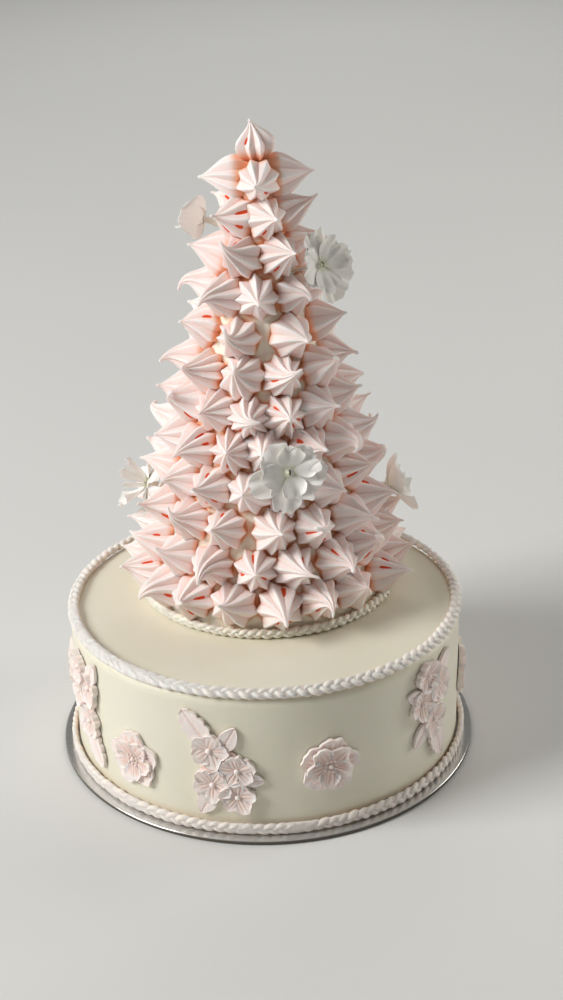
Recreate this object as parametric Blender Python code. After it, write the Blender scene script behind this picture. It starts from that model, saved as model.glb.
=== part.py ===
"""Meringue tower: a cone of piped meringue kisses on a round covered cake and its silver board.

Units are metres, +Z is up and the front of the cake faces -Y. The origin is the middle of the
board's underside. An azimuth is in degrees from the front, and grows towards +X.
"""

import math
import random

import bpy
import bmesh
from mathutils import Matrix, Vector
from mathutils.geometry import delaunay_2d_cdt, intersect_point_quad_2d

MM = 0.001

# Clearance between two neighbouring pieces
GAP = 0.3 * MM

# Silver cake board, 11 inches across
BOARD_RADIUS = 139.7 * MM
BOARD_THICKNESS = 2.5 * MM
BOARD_SIDES = 48

# Covered cake, 10 inches across, with its covering 2.5 mm thick
CAKE_RADIUS = 129.5 * MM
CAKE_TOP = 100.0 * MM
CAKE_EDGE = 8.0 * MM
CAKE_SIDES = 60

# Cream cone of the tower, set back from the middle of the cake
TOWER_ASIDE = 2.3 * MM
TOWER_BACK = 25.5 * MM
TOWER_FOOT_RADIUS = 80.0 * MM
TOWER_TAPER = 0.27
TOWER_NECK_RADIUS = 9.0 * MM
TOWER_CAP_RADIUS = 5.4 * MM
TOWER_NECK_TOP = 383.0 * MM
TOWER_TOP = 388.0 * MM
TOWER_SIDES = 24

# Rows of meringue kisses, from the foot up: how many, and the azimuth of one of them
KISS_ROWS = (
    (18, 4),
    (17, 14),
    (15, 2),
    (15, 14),
    (14, 3),
    (13, -11),
    (10, 18),
    (7, 30),
    (8, -2),
    (6, 31),
    (5, 15),
    (4, 6),
)
FIRST_ROW_RISE = 18.0 * MM
ROW_PITCH = 23.5 * MM

# One kiss: a star section with ridges and grooves, widest at the belly, and a drawn tip
KISS_RIDGES = 7
KISS_RADIUS_LOW = 13.6 * MM
KISS_RADIUS_HIGH = 12.2 * MM
KISS_HEIGHT = 26.0 * MM
KISS_BELLY_RISE = 4.5 * MM
KISS_BASE_SHARE = 0.74
KISS_GROOVE_SHARE = 0.76
KISS_LEAST_HEIGHT = 13.0 * MM
KISS_SINK = 1.5 * MM
KISS_SINK_CURVE = 45.0 * MM * MM
TIP_BEND = 3.5 * MM

# How unevenly the kisses are piped and placed by hand
KISS_SEED = 5
AZIMUTH_SLIP = 2.0
HEIGHT_SLIP = 2.0 * MM
RADIUS_SPREAD = (0.94, 1.03)
HEIGHT_SPREAD = (0.92, 1.06)
BEND_SPREAD = (0.1, 1.0)
TILT_SLIP = 6.0
SWING_SLIP = 5.0

# Kiss that crowns the tower
CROWN_TIP = 412.5 * MM
CROWN_RADIUS = 13.4 * MM
CROWN_BASE_RADIUS = 7.5 * MM
CROWN_BELLY_RISE = 6.5 * MM
CROWN_LEAN = -5.0 * MM
CROWN_RIDGES = 8

# White blossoms between the kisses: azimuth and height of the stem's foot, reach of the petals,
# stand-off of the calyx, rise of the petals' rim above it, and the azimuth that the blossom faces
FLOWERS = (
    (12, 204 * MM, 25 * MM, 19 * MM, 4 * MM, 12),
    (69, 319 * MM, 22 * MM, 20 * MM, 4 * MM, 42),
    (-114, 341 * MM, 16 * MM, 27 * MM, 5 * MM, -55),
    (-92, 168 * MM, 19 * MM, 16 * MM, 11 * MM, -92),
    (94, 160 * MM, 20 * MM, 19 * MM, 11 * MM, 92),
    (158, 258 * MM, 22 * MM, 18 * MM, 6 * MM, 158),
    (-152, 196 * MM, 23 * MM, 18 * MM, 6 * MM, -152),
)
FLOWER_TURN = 17
FLOWER_PETALS = 5
STEM_RADIUS = 2.4 * MM
CALYX_RADIUS = 5.0 * MM
PETAL_THICKNESS = 1.3 * MM
PETAL_WAVE = 1.6 * MM
PETAL_NOTCH_SHARE = 0.7
PETAL_SHOULDER_SHARE = 0.28
THROAT_RADIUS = 6.0 * MM
THROAT_RISE = 3.2 * MM
THROAT_FLOOR = 1.2 * MM

# Room that the kisses leave round a flower's stem and under its petals
STEM_CLEARANCE = 1.2 * MM
LEAST_STEM_SHARE = 0.6
PETAL_CLEARANCE = 1.0 * MM
UNDER_PETAL_CLEARANCE = 1.5 * MM
OVER_PETAL_ROOM = 5.0 * MM
GIRTH_RISE_SHARE = 0.45
PROBE_STEP = 1.0 * MM

# Icing braids: place, half width, half depth and the length of one lobe
EDGE_BRAID_TURN = 60
EDGE_BRAID_HALF_WIDTH = 4.2 * MM
EDGE_BRAID_HALF_DEPTH = 2.9 * MM
FOOT_BRAID_RADIUS = 132.6 * MM
FOOT_BRAID_HALF_WIDTH = 4.2 * MM
FOOT_BRAID_HALF_DEPTH = 2.4 * MM
TOWER_BRAID_RADIUS = 83.4 * MM
TOWER_BRAID_HALF_WIDTH = 2.9 * MM
TOWER_BRAID_HALF_DEPTH = 2.7 * MM
BRAID_LOBE = 18.5 * MM
TOWER_BRAID_LOBE = 14.0 * MM
BRAID_SWING_SHARE = 0.24
BRAID_FRONT_SWING = -0.6

# Moulded pink ornaments on the wall: azimuth, height of the middle and turn in its own plane
SPRIGS = (
    (-13, 50 * MM, 0),
    (52, 62 * MM, 165),
    (118, 52 * MM, 20),
    (178, 56 * MM, 190),
    (-122, 50 * MM, 10),
    (-64, 58 * MM, 175),
)
BLOSSOMS = (
    (16.5, 48 * MM, 10),
    (86, 46 * MM, 40),
    (148, 50 * MM, -20),
    (-152, 47 * MM, 30),
    (-94, 49 * MM, 0),
    (-40.5, 40 * MM, 25),
)
ORNAMENT_BACK = 0.5 * MM

# One single blossom: an outer ring of petals round a raised heart
BLOSSOM_RADIUS = 20.0 * MM
BLOSSOM_NOTCH_SHARE = 0.66
BLOSSOM_HEART_RADIUS = 10.0 * MM
BLOSSOM_EDGE_DEPTH = 1.6 * MM
BLOSSOM_HEART_DEPTH = 3.6 * MM
BLOSSOM_CENTRE_DEPTH = 2.4 * MM

# One sprig, from its middle: blossoms (across, up, reach), leaves (foot, tip, half width)
SPRIG_MIDDLE = (1.0 * MM, -4.0 * MM)
SPRIG_BLOSSOMS = (
    (-7.5 * MM, 11.0 * MM, 12.5 * MM),
    (9.0 * MM, -1.0 * MM, 12.0 * MM),
    (-7.0 * MM, -12.0 * MM, 12.5 * MM),
    (9.0 * MM, -20.0 * MM, 12.0 * MM),
)
SPRIG_LEAVES = (
    (-8.0 * MM, 16.0 * MM, -24.0 * MM, 38.0 * MM, 8.0 * MM),
    (0.0 * MM, 12.0 * MM, 9.0 * MM, 29.0 * MM, 5.5 * MM),
    (-6.0 * MM, -18.0 * MM, -14.0 * MM, -35.0 * MM, 6.0 * MM),
    (12.0 * MM, -6.0 * MM, 26.0 * MM, -9.0 * MM, 4.5 * MM),
)
SPRIG_TURN_STEP = 0.5
SPRIG_INNER_RADIUS = 12.5 * MM
SPRIG_NOTCH_SHARE = 0.74
SPRIG_HIDDEN_SHARE = 0.73
SPRIG_EDGE_DEPTH = 1.5 * MM
SPRIG_HEART_DEPTH = 3.4 * MM
LEAF_RIB_DEPTH = 2.5 * MM
LEAF_WIDEST_SHARE = 0.55
MERGE_DISTANCE = 0.01 * MM

# Colours are linear red, green and blue
IVORY = (0.83, 0.78, 0.62)
PINK_WHITE = (0.86, 0.76, 0.73)
MERINGUE = (0.87, 0.68, 0.62)
PETAL_WHITE = (0.85, 0.86, 0.84)
ORNAMENT_PINK = (0.84, 0.68, 0.65)
SILVER = (0.62, 0.62, 0.62)


def clear_scene():
    """Remove every object that the file opened with."""
    for obj in list(bpy.data.objects):
        bpy.data.objects.remove(obj)


def make_material(name, colour, roughness, metallic=0.0):
    """Return a material with one Principled shader."""
    material = bpy.data.materials.new(name)
    material.use_nodes = True
    shader = material.node_tree.nodes["Principled BSDF"]
    shader.inputs["Base Color"].default_value = (*colour, 1.0)
    shader.inputs["Roughness"].default_value = roughness
    shader.inputs["Metallic"].default_value = metallic
    return material


def add_object(name, mesh, material=None, collection=None):
    """Put a mesh into the scene as a named object."""
    obj = bpy.data.objects.new(name, mesh)
    if material:
        mesh.materials.append(material)
    (collection or bpy.context.scene.collection).objects.link(obj)
    return obj


def mesh_from(name, points, faces):
    """Make a mesh from points and faces, with every face turned outwards."""
    mesh = bpy.data.meshes.new(name)
    mesh.from_pydata([tuple(point) for point in points], [], faces)
    work = bmesh.new()
    work.from_mesh(mesh)
    bmesh.ops.recalc_face_normals(work, faces=work.faces[:])
    work.to_mesh(mesh)
    work.free()
    return mesh


def shade_round(mesh, sharp_angle=35):
    """Shade a round piece smooth, but keep its real edges."""
    mesh.shade_smooth()
    mesh.set_sharp_from_angle(angle=math.radians(sharp_angle))


def turned_mesh(name, profile, sides):
    """Turn a profile of (radius, height) pairs round the Z axis, its ends on the axis."""
    points = []
    faces = []
    for radius, height in profile[1:-1]:
        for step in range(sides):
            angle = 2 * math.pi * step / sides
            points.append((radius * math.cos(angle), radius * math.sin(angle), height))
    rings = len(profile) - 2
    for ring in range(rings - 1):
        for step in range(sides):
            after = (step + 1) % sides
            low = ring * sides
            high = low + sides
            faces.append((low + step, low + after, high + after, high + step))
    faces.append(tuple(range(sides)))
    faces.append(tuple(range((rings - 1) * sides, rings * sides)))
    return mesh_from(name, points, faces)


def ring_faces(first, second):
    """Bridge two closed rings of vertex numbers, the longer a whole multiple of the shorter."""
    if len(first) > len(second):
        first, second = second, first
    share = len(second) // len(first)
    faces = []
    for step, corner in enumerate(first):
        start = step * share
        for part in range(share):
            left = second[start + part]
            right = second[(start + part + 1) % len(second)]
            faces.append((corner, left, right))
        last = second[(start + share) % len(second)]
        faces.append((corner, last, first[(step + 1) % len(first)]))
    return faces


def fan_faces(ring, hub):
    """Join a closed ring of vertex numbers to one vertex."""
    return [(hub, ring[step], ring[(step + 1) % len(ring)]) for step in range(len(ring))]


def facing(azimuth):
    """Unit vector that points out of the tower at an azimuth in degrees."""
    angle = math.radians(azimuth)
    return Vector((math.sin(angle), -math.cos(angle), 0.0))


def tower_radius(height):
    """Radius of the cream cone at a height above the floor."""
    return max(TOWER_FOOT_RADIUS - TOWER_TAPER * (height - CAKE_TOP), TOWER_NECK_RADIUS)


def tower_frame(azimuth, height, turn=0.0):
    """Frame on the cone's surface: its Z points out of the cream, and its Y up the tower."""
    out = facing(azimuth)
    radius = tower_radius(height)
    slope = math.atan(TOWER_TAPER) if radius > TOWER_NECK_RADIUS else 0.0
    normal = out * math.cos(slope) + Vector((0.0, 0.0, math.sin(slope)))
    across = Vector((0.0, 0.0, 1.0)).cross(out)
    upward = normal.cross(across)
    place = Vector((TOWER_ASIDE, TOWER_BACK, height)) + out * radius
    frame = Matrix((across, upward, normal)).transposed().to_4x4()
    frame.translation = place
    return frame @ Matrix.Rotation(math.radians(turn), 4, "Z")


def star_ring(radius, rise, ridges):
    """Points of one star section of a kiss: ridges and grooves take turns."""
    points = []
    for step in range(2 * ridges):
        angle = math.pi * step / ridges
        reach = radius if step % 2 == 0 else radius * KISS_GROOVE_SHARE
        points.append(Vector((reach * math.cos(angle), reach * math.sin(angle), rise)))
    return points


def kiss_mesh(name, rings, tip, ridges):
    """A piped kiss: a star base and a star belly, each (radius, rise), and a drawn tip."""
    base = star_ring(*rings[0], ridges)
    belly = star_ring(*rings[1], ridges)
    count = 2 * ridges
    lower = list(range(count))
    upper = list(range(count, 2 * count))
    faces = [tuple(lower)]
    for step in range(count):
        after = (step + 1) % count
        faces.append((lower[step], lower[after], upper[after], upper[step]))
    faces += fan_faces(upper, 2 * count)
    return mesh_from(name, base + belly + [Vector(tip)], faces)


def kiss_girth(radius, height, rise):
    """Radius of a kiss at a rise above the cream."""
    return radius * (height - rise) / (height - KISS_BELLY_RISE)


def head_frame(azimuth, height, stand_off, face):
    """Frame of a blossom at the end of its stem: its Z points where the blossom faces."""
    frame = tower_frame(face, height)
    frame.translation = tower_frame(azimuth, height) @ Vector((0.0, 0.0, stand_off))
    return frame


def meets_stem(place, girth, stand_off):
    """Tell whether a place with this girth, in the stem's frame, touches the stem."""
    if not 0 < place.z < stand_off:
        return False
    stem = STEM_RADIUS + (CALYX_RADIUS - STEM_RADIUS) * place.z / stand_off
    return math.hypot(place.x, place.y) - girth < stem + GAP


def meets_petals(place, girth, reach, petal_rise):
    """Tell whether a place with this girth, in the blossom's frame, meets its petals.

    The petals' underside rises evenly from the calyx to the rim.
    """
    aside = math.hypot(place.x, place.y) - girth
    if aside > reach + PETAL_CLEARANCE:
        return False
    share = min(max((aside - CALYX_RADIUS) / (reach - CALYX_RADIUS), 0), 1)
    height = place.z - petal_rise * share
    spread = GIRTH_RISE_SHARE * girth
    return -UNDER_PETAL_CLEARANCE - spread < height < OVER_PETAL_ROOM + spread


def meets_flower(frame, radius, height):
    """Tell whether a kiss of this height would touch a flower's stem or petals.

    The kiss is probed along its axis, from the belly to the tip, in the flower's own frames.
    """
    probes = int((height - KISS_BELLY_RISE) / PROBE_STEP) + 1
    for azimuth, flower_height, reach, stand_off, petal_rise, face in FLOWERS:
        into_stem = tower_frame(azimuth, flower_height).inverted() @ frame
        into_head = head_frame(azimuth, flower_height, stand_off, face).inverted() @ frame
        for probe in range(probes):
            rise = KISS_BELLY_RISE + probe * PROBE_STEP
            girth = kiss_girth(radius, height, rise)
            if meets_stem(into_stem @ Vector((0.0, 0.0, rise)), girth, stand_off):
                return True
            if meets_petals(into_head @ Vector((0.0, 0.0, rise)), girth, reach, petal_rise):
                return True
    return False


def beside_stems(azimuth, height, radius):
    """Move a kiss aside from a flower's stem; return None where it would have to move far."""
    for flower_azimuth, flower_height, *_blossom in FLOWERS:
        cone_radius = tower_radius(height)
        turn = math.remainder(math.radians(azimuth - flower_azimuth), 2 * math.pi)
        across = turn * cone_radius
        along = (height - flower_height) * math.hypot(1, TOWER_TAPER)
        distance = math.hypot(across, along)
        wanted = radius + STEM_RADIUS + STEM_CLEARANCE
        if distance < LEAST_STEM_SHARE * wanted:
            return None
        if distance < wanted:
            stretch = wanted / distance
            azimuth = flower_azimuth + math.degrees(across * stretch / cone_radius)
            height = flower_height + (height - flower_height) * stretch
    return azimuth, height


def kiss_plan():
    """List every kiss as its frame, radius, height, sink and bend of the tip.

    The draws are seeded. A kiss beside a flower's stem is moved aside, one whose tip would
    reach the petals is piped shorter, and one that would still touch them is left out.
    """
    draw = random.Random(KISS_SEED)
    plan = []
    for row, (count, first_azimuth) in enumerate(KISS_ROWS):
        share = row / (len(KISS_ROWS) - 1)
        row_height = CAKE_TOP + FIRST_ROW_RISE + row * ROW_PITCH
        row_radius = KISS_RADIUS_LOW + (KISS_RADIUS_HIGH - KISS_RADIUS_LOW) * share
        for step in range(count):
            slip = draw.uniform(-AZIMUTH_SLIP, AZIMUTH_SLIP)
            azimuth = first_azimuth + 360 * step / count + slip
            height = row_height + draw.uniform(0, HEIGHT_SLIP)
            radius = row_radius * draw.uniform(*RADIUS_SPREAD)
            length = KISS_HEIGHT * draw.uniform(*HEIGHT_SPREAD)
            bend_angle = draw.uniform(0, 2 * math.pi)
            bend_reach = TIP_BEND * draw.uniform(*BEND_SPREAD)
            spin = Matrix.Rotation(draw.uniform(0, 2 * math.pi), 4, "Z")
            tilt = Matrix.Rotation(math.radians(draw.uniform(-TILT_SLIP, TILT_SLIP)), 4, "X")
            swing = Matrix.Rotation(math.radians(draw.uniform(-SWING_SLIP, SWING_SLIP)), 4, "Y")
            place = beside_stems(azimuth, height, radius)
            if place is None:
                continue
            frame = tower_frame(*place) @ tilt @ swing @ spin
            while length > KISS_LEAST_HEIGHT and meets_flower(frame, radius, length):
                length -= PROBE_STEP
            if meets_flower(frame, radius, length):
                continue
            sink = KISS_SINK + KISS_SINK_CURVE / tower_radius(height)
            bend = (bend_reach * math.cos(bend_angle), bend_reach * math.sin(bend_angle))
            plan.append((frame, radius, length, sink, bend))
    return plan


def keep_largest_shell(mesh):
    """Drop loose scraps and fill sealed hollows, so that one closed shell is left."""
    work = bmesh.new()
    work.from_mesh(mesh)
    unseen = set(work.verts)
    shells = []
    while unseen:
        start = unseen.pop()
        shell = {start}
        front = [start]
        while front:
            vertex = front.pop()
            for edge in vertex.link_edges:
                other = edge.other_vert(vertex)
                if other not in shell:
                    shell.add(other)
                    front.append(other)
        unseen -= shell
        shells.append(shell)
    shells.sort(key=len)
    for shell in shells[:-1]:
        bmesh.ops.delete(work, geom=list(shell), context="VERTS")
    work.to_mesh(mesh)
    work.free()


def fuse(name, body, pieces, material):
    """Join a body mesh and a collection of piece objects into one solid."""
    obj = add_object(name, body, material)
    union = obj.modifiers.new("union", "BOOLEAN")
    union.operation = "UNION"
    union.operand_type = "COLLECTION"
    union.collection = pieces
    graph = bpy.context.evaluated_depsgraph_get()
    joined = bpy.data.meshes.new_from_object(obj.evaluated_get(graph))
    obj.modifiers.remove(union)
    obj.data = joined
    for piece in list(pieces.objects):
        bpy.data.objects.remove(piece)
    bpy.data.collections.remove(pieces)
    keep_largest_shell(joined)
    joined.materials.clear()
    joined.materials.append(material)


def new_collection(name):
    """Make an empty collection in the scene."""
    collection = bpy.data.collections.new(name)
    bpy.context.scene.collection.children.link(collection)
    return collection


def build_board():
    """Round silver board under the cake."""
    material = make_material("silver_foil", SILVER, 0.35, 1.0)
    profile = ((0, 0), (BOARD_RADIUS, 0), (BOARD_RADIUS, BOARD_THICKNESS), (0, BOARD_THICKNESS))
    mesh = turned_mesh("cake_board", profile, BOARD_SIDES)
    shade_round(mesh)
    add_object("cake_board", mesh, material)


def build_cake():
    """Covered cake: a straight wall, a softened top edge and a flat top."""
    material = make_material("ivory_covering", IVORY, 0.5)
    foot = BOARD_THICKNESS + GAP
    profile = [(0, foot), (CAKE_RADIUS, foot)]
    for angle in (0, 45, 90):
        turn = math.radians(angle)
        radius = CAKE_RADIUS - CAKE_EDGE * (1 - math.cos(turn))
        height = CAKE_TOP - CAKE_EDGE * (1 - math.sin(turn))
        profile.append((radius, height))
    profile.append((0, CAKE_TOP))
    mesh = turned_mesh("base_cake", profile, CAKE_SIDES)
    shade_round(mesh)
    add_object("base_cake", mesh, material)


def build_braid(name, radius, height, half_width, half_depth, turn, lobe, centre=(0.0, 0.0)):
    """A braid along a closed ring, whose upper and lower lobes swing out in turn.

    At a turn of 0 degrees the section's width stands upright, and at 90 it lies flat.
    """
    lobes = round(2 * math.pi * radius / lobe)
    sections = 2 * lobes
    lean = math.radians(turn)
    width_way = Vector((-math.sin(lean), math.cos(lean)))
    depth_way = Vector((math.cos(lean), math.sin(lean)))
    points = []
    for step in range(sections):
        angle = 2 * math.pi * step / sections
        swing = half_width * BRAID_SWING_SHARE * (1 if step % 2 else -1)
        upper = width_way * (half_width * (1 - BRAID_SWING_SHARE) + swing)
        lower = width_way * (-half_width * (1 - BRAID_SWING_SHARE) + swing)
        front = depth_way * half_depth + width_way * swing * BRAID_FRONT_SWING
        back = depth_way * -half_depth
        for offset in (upper, front, lower, back):
            reach = radius + offset.x
            points.append((centre[0] + reach * math.sin(angle), centre[1] - reach * math.cos(angle),
                           height + offset.y))
    faces = []
    corners = 4
    for step in range(sections):
        here = step * corners
        there = (step + 1) % sections * corners
        for corner in range(corners):
            after = (corner + 1) % corners
            if step % 2:
                faces.append((here + corner, here + after, there + after))
                faces.append((here + corner, there + after, there + corner))
            else:
                faces.append((here + corner, here + after, there + corner))
                faces.append((here + after, there + after, there + corner))
    mesh = mesh_from(name, points, faces)
    material = make_material(name + "_icing", PINK_WHITE, 0.55)
    add_object(name, mesh, material)


def build_braids():
    """Braids on the top edge, round the foot of the cake and round the foot of the tower."""
    lean = math.radians(EDGE_BRAID_TURN)
    off_edge = CAKE_EDGE + GAP + EDGE_BRAID_HALF_DEPTH
    edge_radius = CAKE_RADIUS - CAKE_EDGE + off_edge * math.cos(lean)
    edge_height = CAKE_TOP - CAKE_EDGE + off_edge * math.sin(lean)
    build_braid("top_edge_braid", edge_radius, edge_height, EDGE_BRAID_HALF_WIDTH,
                EDGE_BRAID_HALF_DEPTH, EDGE_BRAID_TURN, BRAID_LOBE)
    foot_height = BOARD_THICKNESS + GAP + FOOT_BRAID_HALF_WIDTH
    build_braid("foot_braid", FOOT_BRAID_RADIUS, foot_height, FOOT_BRAID_HALF_WIDTH,
                FOOT_BRAID_HALF_DEPTH, 0, BRAID_LOBE)
    tower_height = CAKE_TOP + GAP + TOWER_BRAID_HALF_WIDTH
    build_braid("tower_foot_braid", TOWER_BRAID_RADIUS, tower_height, TOWER_BRAID_HALF_WIDTH,
                TOWER_BRAID_HALF_DEPTH, 0, TOWER_BRAID_LOBE, (TOWER_ASIDE, TOWER_BACK))


def build_tower():
    """Cream cone with all its kisses fused on."""
    material = make_material("pink_meringue", MERINGUE, 0.6)
    foot = CAKE_TOP + GAP
    neck_start = CAKE_TOP + (TOWER_FOOT_RADIUS - TOWER_NECK_RADIUS) / TOWER_TAPER
    profile = (
        (0, foot),
        (TOWER_FOOT_RADIUS, foot),
        (TOWER_NECK_RADIUS, neck_start),
        (TOWER_NECK_RADIUS, TOWER_NECK_TOP),
        (TOWER_CAP_RADIUS, TOWER_TOP),
        (0, TOWER_TOP),
    )
    core = turned_mesh("tower_core", profile, TOWER_SIDES)
    core.transform(Matrix.Translation((TOWER_ASIDE, TOWER_BACK, 0.0)))
    pieces = new_collection("kisses")
    for number, (frame, radius, height, sink, bend) in enumerate(kiss_plan()):
        rings = ((KISS_BASE_SHARE * radius, -sink), (radius, KISS_BELLY_RISE))
        mesh = kiss_mesh("kiss", rings, (*bend, height), KISS_RIDGES)
        mesh.transform(frame)
        add_object("kiss_%d" % number, mesh, None, pieces)
    fuse("meringue_tower", core, pieces, material)


def build_crown():
    """The kiss that stands upright on the top of the tower."""
    material = make_material("crown_meringue", MERINGUE, 0.6)
    foot = TOWER_TOP + GAP
    rings = ((CROWN_BASE_RADIUS, 0.0), (CROWN_RADIUS, CROWN_BELLY_RISE))
    mesh = kiss_mesh("crown_kiss", rings, (CROWN_LEAN, 0.0, CROWN_TIP - foot), CROWN_RIDGES)
    mesh.transform(Matrix.Translation((TOWER_ASIDE, TOWER_BACK, foot)))
    add_object("crown_kiss", mesh, material)


def petal_ring(count, reach, notch, wave, rise):
    """Rim of an open blossom: for each petal a notch and two shoulders."""
    corners = (
        (-0.5, notch, 0.0),
        (-PETAL_SHOULDER_SHARE, reach, wave),
        (PETAL_SHOULDER_SHARE, reach, -wave),
    )
    points = []
    for petal in range(count):
        way = 1 if petal % 2 else -1
        for offset, length, lift in corners:
            angle = 2 * math.pi * (petal + offset) / count
            points.append(Vector((length * math.cos(angle), length * math.sin(angle), rise + lift * way)))
    return points


def circle_points(count, radius, rise):
    """Points of a plain ring, which starts at the notch of the first petal."""
    points = []
    for step in range(count):
        angle = 2 * math.pi * (step - 0.5) / count
        points.append(Vector((radius * math.cos(angle), radius * math.sin(angle), rise)))
    return points


def flower_mesh(name, foot, head, reach, petal_rise):
    """White blossom on its stem: thin wavy petals round a sunken throat.

    The stem's foot is in one frame, and the blossom at its end in another.
    """
    notch = PETAL_NOTCH_SHARE * reach
    rings = (
        circle_points(FLOWER_PETALS, CALYX_RADIUS, 0.0),
        petal_ring(FLOWER_PETALS, reach, notch, PETAL_WAVE, petal_rise),
        petal_ring(FLOWER_PETALS, reach, notch, PETAL_WAVE, petal_rise + PETAL_THICKNESS),
        circle_points(FLOWER_PETALS, THROAT_RADIUS, THROAT_RISE),
    )
    points = [foot @ point for point in circle_points(FLOWER_PETALS, STEM_RADIUS, GAP)]
    numbers = [list(range(len(points)))]
    for ring in rings:
        numbers.append(list(range(len(points), len(points) + len(ring))))
        points += [head @ point for point in ring]
    points.append(head @ Vector((0.0, 0.0, THROAT_FLOOR)))
    faces = [tuple(numbers[0])]
    for first, second in zip(numbers, numbers[1:]):
        faces += ring_faces(first, second)
    faces += fan_faces(numbers[-1], len(points) - 1)
    return mesh_from(name, points, faces)


def build_flowers():
    """White blossoms, each its own piece between the kisses."""
    material = make_material("white_petal", PETAL_WHITE, 0.55)
    for number, flower in enumerate(FLOWERS, start=1):
        azimuth, height, reach, stand_off, petal_rise, face = flower
        turn = Matrix.Rotation(math.radians(FLOWER_TURN * number), 4, "Z")
        foot = tower_frame(azimuth, height) @ turn
        head = head_frame(azimuth, height, stand_off, face) @ turn
        name = "white_flower_%d" % number
        add_object(name, flower_mesh(name, foot, head, reach, petal_rise), material)


def on_wall(points, azimuth, height, turn):
    """Bend flat points (across, up, depth) onto the cake's wall."""
    bent = []
    spin = Matrix.Rotation(math.radians(turn), 4, "Z")
    for point in points:
        flat = spin @ Vector((point[0], point[1], 0.0))
        angle = math.radians(azimuth) + flat.x / CAKE_RADIUS
        reach = CAKE_RADIUS + ORNAMENT_BACK + point[2]
        bent.append(Vector((reach * math.sin(angle), -reach * math.cos(angle), height + flat.y)))
    return bent


def single_blossom_parts():
    """Points (across, up, depth) and faces of a single blossom with a flat back."""
    notch = BLOSSOM_NOTCH_SHARE * BLOSSOM_RADIUS
    rings = (
        petal_ring(5, BLOSSOM_RADIUS, notch, 0.0, 0.0),
        petal_ring(5, BLOSSOM_RADIUS, notch, 0.0, BLOSSOM_EDGE_DEPTH),
        circle_points(5, BLOSSOM_HEART_RADIUS, BLOSSOM_HEART_DEPTH),
    )
    points = [Vector((0.0, 0.0, 0.0)), Vector((0.0, 0.0, BLOSSOM_CENTRE_DEPTH))]
    numbers = []
    for ring in rings:
        numbers.append(list(range(len(points), len(points) + len(ring))))
        points += ring
    faces = fan_faces(numbers[0], 0) + fan_faces(numbers[-1], 1)
    for first, second in zip(numbers, numbers[1:]):
        faces += ring_faces(first, second)
    return points, faces


def build_blossoms():
    """Single layered blossoms on the wall."""
    material = make_material("pink_blossom_icing", ORNAMENT_PINK, 0.6)
    points, faces = single_blossom_parts()
    for number, (azimuth, height, turn) in enumerate(BLOSSOMS, start=1):
        name = "pink_blossom_%d" % number
        mesh = mesh_from(name, on_wall(points, azimuth, height, turn), faces)
        add_object(name, mesh, material)


def blossom_rim(across, up, reach, turn):
    """Rim of a small blossom: five petal tips and the notches between them."""
    rim = []
    for step in range(10):
        angle = math.pi * step / 5 + turn
        length = reach if step % 2 == 0 else SPRIG_NOTCH_SHARE * reach
        rim.append(Vector((across + length * math.cos(angle), up + length * math.sin(angle))))
    return rim


def leaf_rim(across, up, tip_across, tip_up, half_width):
    """The free end of a pointed leaf: its two widest points and its tip."""
    foot = Vector((across, up))
    tip = Vector((tip_across, tip_up))
    along = tip - foot
    side = Vector((-along.y, along.x)).normalized() * half_width
    widest = foot + along * LEAF_WIDEST_SHARE
    return [widest + side, tip, widest - side]


def is_hidden(point, leaf_rims):
    """Tell whether a blossom's rim point lies under another blossom, a leaf or the middle."""
    middle = Vector(SPRIG_MIDDLE)
    if (point - middle).length < SPRIG_INNER_RADIUS:
        return True
    for across, up, reach in SPRIG_BLOSSOMS:
        if (point - Vector((across, up))).length < SPRIG_HIDDEN_SHARE * reach:
            return True
    return any(intersect_point_quad_2d(point, middle, *rim) for rim in leaf_rims)


def sprig_points():
    """Outline of a sprig in order round its middle, and its raised inner points."""
    middle = Vector(SPRIG_MIDDLE)
    leaf_rims = [leaf_rim(*leaf) for leaf in SPRIG_LEAVES]
    outline = [point for rim in leaf_rims for point in rim]
    raised = [middle.to_3d() + Vector((0.0, 0.0, SPRIG_EDGE_DEPTH))]
    for index, (across, up, reach) in enumerate(SPRIG_BLOSSOMS):
        rim = blossom_rim(across, up, reach, SPRIG_TURN_STEP * index)
        outline += [point for point in rim if not is_hidden(point, leaf_rims)]
        raised.append(Vector((across, up, SPRIG_HEART_DEPTH)))
    for across, up, tip_across, tip_up, half_width in SPRIG_LEAVES:
        rib = Vector((across, up)).lerp(Vector((tip_across, tip_up)), LEAF_WIDEST_SHARE)
        raised.append(Vector((rib.x, rib.y, LEAF_RIB_DEPTH)))
    outline.sort(key=lambda point: math.atan2(point.y - middle.y, point.x - middle.x))
    return outline, raised


def sprig_parts():
    """Points (across, up, depth) and faces of one sprig: a thin relief with a flat back."""
    outline, raised = sprig_points()
    flat = outline + [Vector((point.x, point.y)) for point in raised]
    rim = list(range(len(outline)))
    split = delaunay_2d_cdt(flat, [], [rim], 1, MERGE_DISTANCE)
    places = [Vector(point) for point in split[0]]
    depths = []
    for sources in split[3]:
        source = sources[0] if sources else 0
        inner = source - len(outline)
        depths.append(raised[inner].z if inner >= 0 else SPRIG_EDGE_DEPTH)
    order = {sources[0]: index for index, sources in enumerate(split[3]) if sources}
    front = [(place.x, place.y, depth) for place, depth in zip(places, depths)]
    back = [(place.x, place.y, 0.0) for place in places]
    shift = len(places)
    faces = [tuple(face) for face in split[2]]
    faces += [tuple(shift + corner for corner in face) for face in split[2]]
    edge = [order[corner] for corner in rim]
    faces += ring_faces(edge, [shift + corner for corner in edge])
    return front + back, faces


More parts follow.
